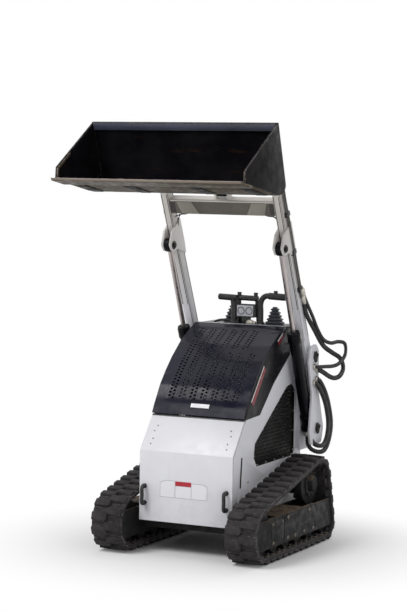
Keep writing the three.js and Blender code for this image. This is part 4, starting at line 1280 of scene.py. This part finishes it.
def on_line(start, end, distance, aside=0.0):
    """A place so far along a line, and so far in front of it: distance behind the nose and height."""
    way = (Vector(end) - Vector(start)).normalized()
    return Vector(start) + way * distance + Vector((-way.y, way.x)) * aside


def spot(x, place):
    """The place at X, from its distance behind the nose and height."""
    return Vector((x, *back(*place)))


def smooth_route(points, step=0.007):
    """Even steps along a smooth curve through the points."""
    points = [Vector(p) for p in points]
    ends = [points[0] * 2 - points[1], *points, points[-1] * 2 - points[-2]]
    fine = []
    for a, b, c, d in zip(ends, ends[1:], ends[2:], ends[3:]):
        for k in range(24):
            t = k / 24
            fine.append(0.5 * (2 * b + (c - a) * t + (2 * a - 5 * b + 4 * c - d) * t * t
                               + (3 * b - a - 3 * c + d) * t ** 3))
    fine.append(points[-1])
    route, left = [fine[0]], step
    for a, b in zip(fine, fine[1:]):
        gap = (b - a).length
        while left < gap:
            route.append(a.lerp(b, left / gap))
            left += step
        left -= gap
    return route


def guard_coils(route, radius):
    """The coil wound round a hose: half a turn for each step of its route."""
    coils, side = [], Vector((1, 0, 0))
    for k, (a, b) in enumerate(zip(route, route[1:])):
        along = (b - a).normalized()
        side = (side - along * side.dot(along)).normalized()
        other = along.cross(side)
        for part in range(6):
            angle = (k + part / 6) * math.pi
            aside = side * math.cos(angle) + other * math.sin(angle)
            coils.append(a.lerp(b, part / 6) + aside * radius)
    return tube("coils", coils, 0.0022, 4, 1)


def hose(name, points, radius=0.0125):
    """A hose in its coiled guard."""
    route = smooth_route(points)
    return weld([tube("hose", route, radius, 12, 1), guard_coils(route, radius)], name)


def on_arm(distance, aside=0.0):
    """A place so far up the arm's middle line and so far in front of it."""
    return on_line(ARM_PIVOT, ARM_KNEE, distance, aside)


def on_cylinder(distance, aside=0.0):
    """A place so far up the lift cylinder's line and so far in front of it."""
    return on_line(LIFT_BASE, LIFT_EYE, distance, aside)


def bent_piece(piece, stands_for=()):
    """A hose that runs between two bodies: it is attached to neither, and its place is baked into its mesh.
    """
    finish_piece(piece, None, "hose_rubber", stands_for)
    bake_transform(piece)


def nut(start, end, radius):
    """A six-sided nut between two points."""
    return soften(turned("nut", start, end, radius, 6), radius * 0.08, 1)


def side_hoses(side, hand):
    """The hoses from the tower to the lift cylinder's foot and up to the arm, with their nuts."""
    x, tower, face = hand * ARM_X, hand * TOWER_FACE, hand * (ARM_FACE + 0.0135)

    def run(corners):
        return [spot(hand * (ARM_X + outward), (d, z)) for outward, d, z in corners]
    for name, corners in BARREL_HOSES.items():
        stands_for = (f"{side}_lift_hose",) if name == "outer" else ()
        bent_piece(hose(f"{side}_{name}_barrel_hose", run(corners)),
                   stands_for)
    for name, corners in ARM_BOWS.items():
        stands_for = (f"{side}_arm_hose",) if name == "low" else ()
        bent_piece(hose(f"{side}_{name}_arm_bow", run(corners), BOW_RADII[name]),
                   stands_for)

    ports = [nut(spot(tower, at), spot(tower + hand * .014, at), .019) for at in BULKHEAD_PORTS]
    finish_piece(weld(ports, f"{side}_bulkhead_nuts"), "chassis", "plated_cap")
    ends = [nut(spot(face, (.727, 1.400)), spot(face, (.706, 1.447)), .017),
            nut(spot(face + hand * .002, (.702, 1.447)), spot(face + hand * .002, (.682, 1.488)), .017)]
    finish_piece(weld(ends, f"{side}_arm_hose_ends"), "lift_arm", "plated_cap")


def arm_trim(side, hand):
    """Hard lines, clamps, dark lines painted as shade along its edges, and rod pin of one arm, with the pin
    flags on its tower, whose black is partly painted shade.
    """
    x, face = hand * ARM_X, hand * ARM_FACE
    lines = []
    for aside, start in ((-0.004, 0.385), (-0.022, 0.345)):
        run = [on_arm(d, aside) for d in (start, 0.6, 0.85, 1.10)] + [on_arm(1.16, aside - 0.010)]
        lines.append(tube("line", [spot(face + hand * 0.010, place) for place in run], 0.0055, 10))
    finish_piece(weld(lines, f"{side}_hard_lines"), "lift_arm", "pin_steel")
    clamps = []
    for middle in (0.44, 0.68, 0.92, 1.12):
        outline = [on_arm(middle + d, aside) for d, aside in oblong(-.014, .014, .010, -.034)]
        clamps.append(side_plate("clamp", outline, face, hand * 0.018, 0.002))
    finish_piece(weld(clamps, f"{side}_line_clamps"), "lift_arm", "grip_black")
    # dark lines painted as the shade along the arm's edges, on its sides and its front
    shade_lines = []
    for middle in (-0.031, 0.031):
        outline = [on_arm(d, middle + aside) for d, aside in oblong(.12, 1.08, -SHADE_LINE_HALF, SHADE_LINE_HALF)]
        shade_lines.append(side_plate("shade_line", outline, face, hand * 0.0006))
        shade_lines.append(side_plate("shade_line", outline, hand * (ARM_X - 0.021), -hand * 0.0006))
    for across in (-0.0165, 0.0165):
        shade_lines.append(plate("shade_line", oblong(0.33, 1.05, -SHADE_LINE_HALF, SHADE_LINE_HALF),
                             lambda d, b: spot(x + across + b, on_arm(d, 0.0376)), (0, -0.0004, -0.0002)))
    finish_piece(weld(shade_lines, f"{side}_arm_shade_lines"), "lift_arm", None, material=PAINTED_SHADOW)

    pins = []
    for way, edge in ((hand, hand * (ARM_X + 0.031)), (-hand, hand * (ARM_X - 0.031))):
        pin = turned("pin", spot(edge, LIFT_EYE), spot(edge + way * 0.010, LIFT_EYE), 0.017)
        pins += [soften(pin, 0.002), ring("boss", spot(edge, LIFT_EYE), (1, 0, 0), 0.022, 0.003)]
    finish_piece(weld(pins, f"{side}_rod_pin_keepers"), "lift_arm", "dark_steel")
    eye = turned(f"{side}_rod_eye", spot(x - 0.017, LIFT_EYE), spot(x + 0.017, LIFT_EYE), 0.040, 40)
    finish_piece(soften(eye, 0.004, 3), f"{side}_lift_rod", "black_paint")

    flags = []
    for d, z in (ARM_PIVOT, LIFT_BASE):
        outline = [(d + a, z + b) for a, b in ((-.030, -.006), (-.006, -.034), (.020, -.030), (.034, .004),
                                               (.010, .034), (-.018, .030))]
        flags.append(side_plate("flag", outline, hand * (ARM_X + 0.060), hand * 0.006, 0.002))
        bolt = hex_bolt(0.009)
        bolt.matrix_world = facing(spot(hand * (ARM_X + 0.066), (d + .016, z + .012)), (hand, 0, 0))
        flags.append(settle(bolt))
    # dark steel here is partly the flags' own black and partly painted shade, as they sit in shadow
    finish_piece(weld(flags, f"{side}_shaded_pin_flags"), "chassis", "dark_steel")


def lift_cylinder_trim(side, hand):
    """Gland, ports and feed pipe of one lift cylinder."""
    barrel, x = f"{side}_lift_barrel", hand * ARM_X
    gland = [turned("gland", spot(x, on_cylinder(start)), spot(x, on_cylinder(end)), radius, 40)
             for start, end, radius in ((.560, .618, .0385), (.618, .6275, .034), (.055, .085, .0370))]
    finish_piece(weld_soft(gland, 0.0025, f"{side}_lift_gland"), barrel, "black_paint")
    pipe_x, foot_x = x + hand * .012, x + hand * .030
    ports = [nut(spot(pipe_x, on_cylinder(d, -0.028)), spot(pipe_x, on_cylinder(d, -0.052)), 0.014)
             for d in (0.075, 0.575)]
    ports += [nut(spot(foot_x, (.872, .668)), spot(foot_x, (.868, .640)), .016),
              nut(spot(x, (.895, .628)), spot(x, (.895, .602)), .018)]
    finish_piece(weld(ports, f"{side}_cylinder_ports"), barrel, "plated_cap")
    run = [spot(pipe_x, on_cylinder(*place)) for place in
           ((.575, -.050), (.545, -.053), (.30, -.046), (.15, -.046), (.090, -.050), (.075, -.044))]
    finish_piece(tube(f"{side}_cylinder_pipe", run, 0.0055), barrel, "pin_steel")


def crossmember_trim():
    """Front face painted grey-brown as the shade it lies in, with dust on it, a plate at each end painted in
    lighter shade, a dark patch painted as shadow by each end, a pale top lip, and the pipes that run along
    it.
    """
    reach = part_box("arm_crossmember")[1].x - 0.001

    def on_beam(x, v, lift=0.0):
        return spot(x, on_arm(0.967 + v, 0.0252 + lift))

    def run(hand, corners):
        return [on_beam(hand * x, v, lift) for x, v, lift in corners]
    # a sheet over the whole front face, its white paint darkened to grey-brown as painted shade
    face = plate("crossmember_face", oblong(-reach, reach, -.042, .036), on_beam, BEAM_FRONT * 0.0015)
    finish_piece(face, "lift_arm", None, material=DUST_AND_SHADE_PAINT)
    for side, hand in SIDES:
        # end plates whose white paint is darkened as painted shade, less than the face
        outline = [(hand * a, v) for a, v in ((.150, -.040), (.262, -.040), (.286, .034), (.190, .034))]
        end = plate(f"{side}_beam_plate", outline[::hand], lambda x, v: on_beam(x, v, 0.0012),
                    BEAM_FRONT * 0.005, 0.0015)
        finish_piece(end, "lift_arm", None, material=PALE_SHADE_PAINT)
        # a dark patch painted as the shadow beside each end plate
        outline = [(hand * a, v) for a, v in oblong(.298, .326, -.036, .030)]
        end_shadow = plate(f"{side}_beam_end_shadow", outline[::hand], lambda x, v: on_beam(x, v, 0.0013),
                       BEAM_FRONT * 0.001)
        finish_piece(end_shadow, "lift_arm", None, material=PAINTED_SHADOW)
        wire = run(hand, ((.262, -.040, -.040), (.285, -.058, -.040), (.312, -.085, -.038),
                          (.324, -.130, -.036), (.331, -.215, -.034)))
        finish_piece(tube(f"{side}_beam_wire", wire, 0.0032, 8, 8), "lift_arm", "hose_rubber")
        pipe = run(hand, ((.222, -.040, -.038), (.252, -.060, -.038), (.300, -.067, -.036),
                          (.332, -.080, -.034)))
        finish_piece(tube(f"{side}_beam_pipe", pipe, 0.0036, 8, 8), "lift_arm", "pin_steel")
    lip = plate("beam_lip", oblong(-reach, reach, .0375, .0435), on_beam, BEAM_FRONT * 0.004, 0.001)
    finish_piece(lip, "lift_arm", "white_paint")


# ---------------------------------------------------------------- bucket
HEEL, LIP, BUCKET_TOP, REAR_HEEL = (-0.086, 2.031), (-0.502, 2.100), (-0.090, 2.422), (0.027, 2.076)
FLOOR_DOWN = Vector((0, -0.1636, -0.9865))   # square to the bucket's floor


def bucket_trim():
    """Wear floor and skids below, strip and ribs behind, and welds, bolts and cheek edges inside."""
    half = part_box("bucket_shell")[1].x

    def under(x, d, lift=0.0):
        return spot(x, on_line(HEEL, LIP, d, lift))
    floor = plate("bucket_wear_floor", oblong(-half + .004, half - .004, .045, .322),
                  lambda x, d: under(x, d, 0.0004), FLOOR_DOWN * 0.003, 0.001)
    finish_piece(floor, "bucket", None, material=BROWN_FLOOR)
    skids = [plate("skid", oblong(x - .032, x + .032, .050, .300), lambda a, d: under(a, d, 0.003),
                   FLOOR_DOWN * 0.006, 0.0025) for x in (-0.50, -0.20, 0.20, 0.50)]
    finish_piece(weld(skids, "bucket_skids"), "bucket", "dark_steel")

    rise = Vector(BUCKET_TOP) - Vector(REAR_HEEL)
    whole, up = rise.length, rise.normalized()
    inward = Vector((0, -up.y, up.x))
    strip = plate("bucket_top_strip", oblong(-half + .010, half - .010, whole - .042, whole - .003),
                  lambda x, v: spot(x, on_line(REAR_HEEL, BUCKET_TOP, v, 0.0192)), inward * 0.002, 0.0008)
    finish_piece(strip, "bucket", None, material=TOP_STRIP)
    ribs = [plate("rib", oblong(x - .006, x + .006, .07, whole - .05),
                  lambda a, v: spot(a, on_line(REAR_HEEL, BUCKET_TOP, v)), -inward * 0.022, 0.002)
            for x in (-0.40, 0.40)]
    finish_piece(weld(ribs, "bucket_back_ribs"), "bucket", "bucket_steel")

    beads = []
    for hand in (1, -1):
        inside = hand * (half - 0.0085)
        run = [spot(inside, on_line(HEEL, LIP, d, -0.009)) for d in (0.38, 0.30, 0.20, 0.09)]
        run += [spot(inside, on_line(REAR_HEEL, BUCKET_TOP, d, 0.009)) for d in (0.07, 0.15, 0.24, 0.325)]
        bead = tube("bead", smooth_route(run, 0.012), 0.0042, 8, 1)
        for k, vertex in enumerate(bead.data.vertices):
            vertex.co += Vector((0, 0.0008, 0.0008)) * math.sin(k * 0.9)
        beads.append(bead)
    finish_piece(weld(beads, "bucket_welds"), "bucket", "bucket_steel")
    heads = [(under(x, 0.385, -0.0075), -FLOOR_DOWN) for x in (-.48, -.36, -.24, -.12, 0, .12, .24, .36, .48)]
    finish_piece(dome_heads("edge_bolts", heads, 0.010), "bucket", "worn_edge")
    cheek = ((-.494, 2.108), (-.494, 2.158), (-.487, 2.166), (-.360, 2.246), (-.352, 2.236), (-.478, 2.152),
             (-.478, 2.108))
    cheeks = [side_plate("cheek", cheek, hand * (half - 0.0003), -hand * 0.012, 0.002) for hand in (1, -1)]
    finish_piece(weld(cheeks, "bucket_cheek_edges"), "bucket", "worn_edge")


# ---------------------------------------------------------------- rear end
STUD_PITCH = 0.030
STUD_COLUMNS = 14
PLATFORM_TOP = 0.2481


def rear_trim():
    """Service cover with louvres, bolts and latches."""
    low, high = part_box("rear_panel")
    y = high.y
    cover = block("service_cover", (low.x + 0.05, y, low.z + 0.20), (high.x - 0.05, y + 0.004, high.z - 0.12))
    finish_piece(soften(cover, 0.0015), "chassis", "white_paint")
    louvre = block("louvre", (-0.075, 0, -0.004), (0.075, 0.010, 0.004))
    for vertex in louvre.data.vertices:
        if vertex.co.z > 0 and vertex.co.y > 0.005:
            vertex.co.y = 0.001
    soften(louvre, 0.0015)
    rows = [Matrix.Translation((x, y + 0.004, low.z + 0.26 + 0.026 * k))
            for k in range(9) for x in (-0.10, 0.10)]
    finish_piece(copies(louvre, rows, "rear_louvres"), "chassis", "black_mesh")
    spots = [((x, y + 0.004, z), (0, 1, 0)) for x in (low.x + 0.07, high.x - 0.07)
             for z in (low.z + 0.22, (low.z + high.z) / 2, high.z - 0.14)]
    finish_piece(bolts("rear_cover_bolts", spots, 0.008), "chassis", "plated_cap")
    latches = [turned("latch", (x, y + 0.003, high.z - 0.19), (x, y + 0.016, high.z - 0.19), 0.017)
               for x in (-0.14, 0.14)]
    finish_piece(weld_soft(latches, 0.003, "rear_latches"), "chassis", "grip_black")


def platform_trim():
    """Raised studs over the platform and a red strip along its back edge."""
    low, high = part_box("operator_platform")
    front = low.y + 0.075
    stud = block("stud", (-0.013, -0.0035, 0), (0.013, 0.0035, 0.0035))
    soften(stud, 0.0016, 1)
    places = []
    for row in range(int((high.y - front - STUD_PITCH) / STUD_PITCH)):
        for column in range(STUD_COLUMNS):
            x = low.x + 0.033 + column * (high.x - low.x - 0.066) / (STUD_COLUMNS - 1)
            turn = Matrix.Rotation(math.radians(45 if (row + column) % 2 else -45), 4, "Z")
            places.append(Matrix.Translation((x, front + row * STUD_PITCH, PLATFORM_TOP)) @ turn)
    finish_piece(copies(stud, places, "platform_tread"), "platform", None, material=TREAD_STEEL)
    strip = block("platform_edge_strip", (low.x + 0.02, high.y - 0.001, 0.228),
                  (high.x - 0.02, high.y + 0.002, 0.244))
    finish_piece(soften(strip, 0.001), "platform", None, material=RED_STRIPE)


# ---------------------------------------------------------------- seals, painted deck highlight and engine bay
def seals():
    """Rubber along the door's top edge and a bright plated strip painted as the highlight along the deck's
    front.
    """
    edge, foot = Vector((0.147, 0.7705)), Vector((0.0, 0.582))
    way = (foot - edge).normalized()
    seal = plate("door_seal", oblong(-BODY_HALF + .002, BODY_HALF - .002, -.002, .009),
                 lambda x, v: spot(x, edge + way * v), (0, -0.789 * 0.0012, 0.614 * 0.0012), 0.0005)
    finish_piece(seal, "front_door", "grip_black")
    half = BODY_HALF - 0.004
    # a bright plated strip painted as the highlight along the deck's front edge
    lip = block("deck_edge_highlight", (-half, DECK_FRONT + 0.001, DECK_Z), (half, DECK_FRONT + 0.006, DECK_Z + 0.005))
    finish_piece(soften(lip, 0.0015), "chassis", "plated_cap")


def engine_bay():
    """Cooling fins, filter, pulleys and pipes on the engine's block."""
    low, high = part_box("engine_block")
    front, base = low.y, low.z
    fin = soften(block("fin", (-0.175, -0.016, -0.003), (0.175, 0.002, 0.003)), 0.0012, 1)
    rows = [Matrix.Translation((0, front, base + 0.20 + 0.018 * k)) for k in range(14)]
    finish_piece(copies(fin, rows, "engine_fins"), "chassis", "engine_grey")
    pulleys = [turned("pulley", (x, front - 0.002, base + z), (x, front - 0.030, base + z), radius, 32)
               for x, z, radius in ((-0.09, 0.10, .062), (0.10, 0.12, .040), (0.02, 0.06, .028))]
    finish_piece(weld_soft(pulleys, 0.004, "engine_pulleys"), "chassis", "dark_steel")
    y, z = front + 0.06, high.z + 0.052
    can = [turned("filter", (start, y, z), (end, y, z), radius, 40) for start, end, radius in
           ((-0.12, 0.13, 0.050), (-0.10, -0.088, 0.0525), (0.09, 0.102, 0.0525))]
    finish_piece(weld_soft(can, 0.003, "air_filter"), "chassis", "grip_black")
    pipe = tube("pipe", [(0.13, y, z), (0.165, y, z - 0.01), (0.18, front + 0.07, z - 0.05),
                         (0.18, front + 0.09, high.z - 0.004)], 0.020, 14, 8)
    line = tube("line", [(-0.15, front, base + 0.17), (-0.16, front - 0.03, base + 0.16),
                         (-0.17, front - 0.03, base + 0.05), (-0.15, front, base + 0.03)], 0.008, 10, 8)
    finish_piece(weld([pipe, line], "engine_pipes"), "chassis", "hose_rubber")
    heads = [((x, front, z), (0, -1, 0)) for x in (-0.19, 0.19)
             for z in (base + 0.04, base + 0.17, high.z - 0.02)]
    finish_piece(bolts("engine_bolts", heads, 0.010), "chassis", "pin_steel")


# ---------------------------------------------------------------- making it all
bpy.context.scene.view_settings.view_transform = "Standard"
camera()
stage()
dress_nodes()
for side, hand in SIDES:
    track(side)
    undercarriage(side, hand)
hood()
for side, hand in SIDES:
    mesh_window(side, hand)
    stripes(side, hand)
    side_fittings(side, hand)
door_label()
door_screws()
for side, hand in SIDES:
    grab_handle(side)
for side, hand in SIDES:
    bellows(side)
handle_bars()
gauge()
deck_clutter()
for side, hand in SIDES:
    side_hoses(side, hand)
    arm_trim(side, hand)
    lift_cylinder_trim(side, hand)
crossmember_trim()
bucket_trim()
rear_trim()
platform_trim()
seals()
engine_bay()
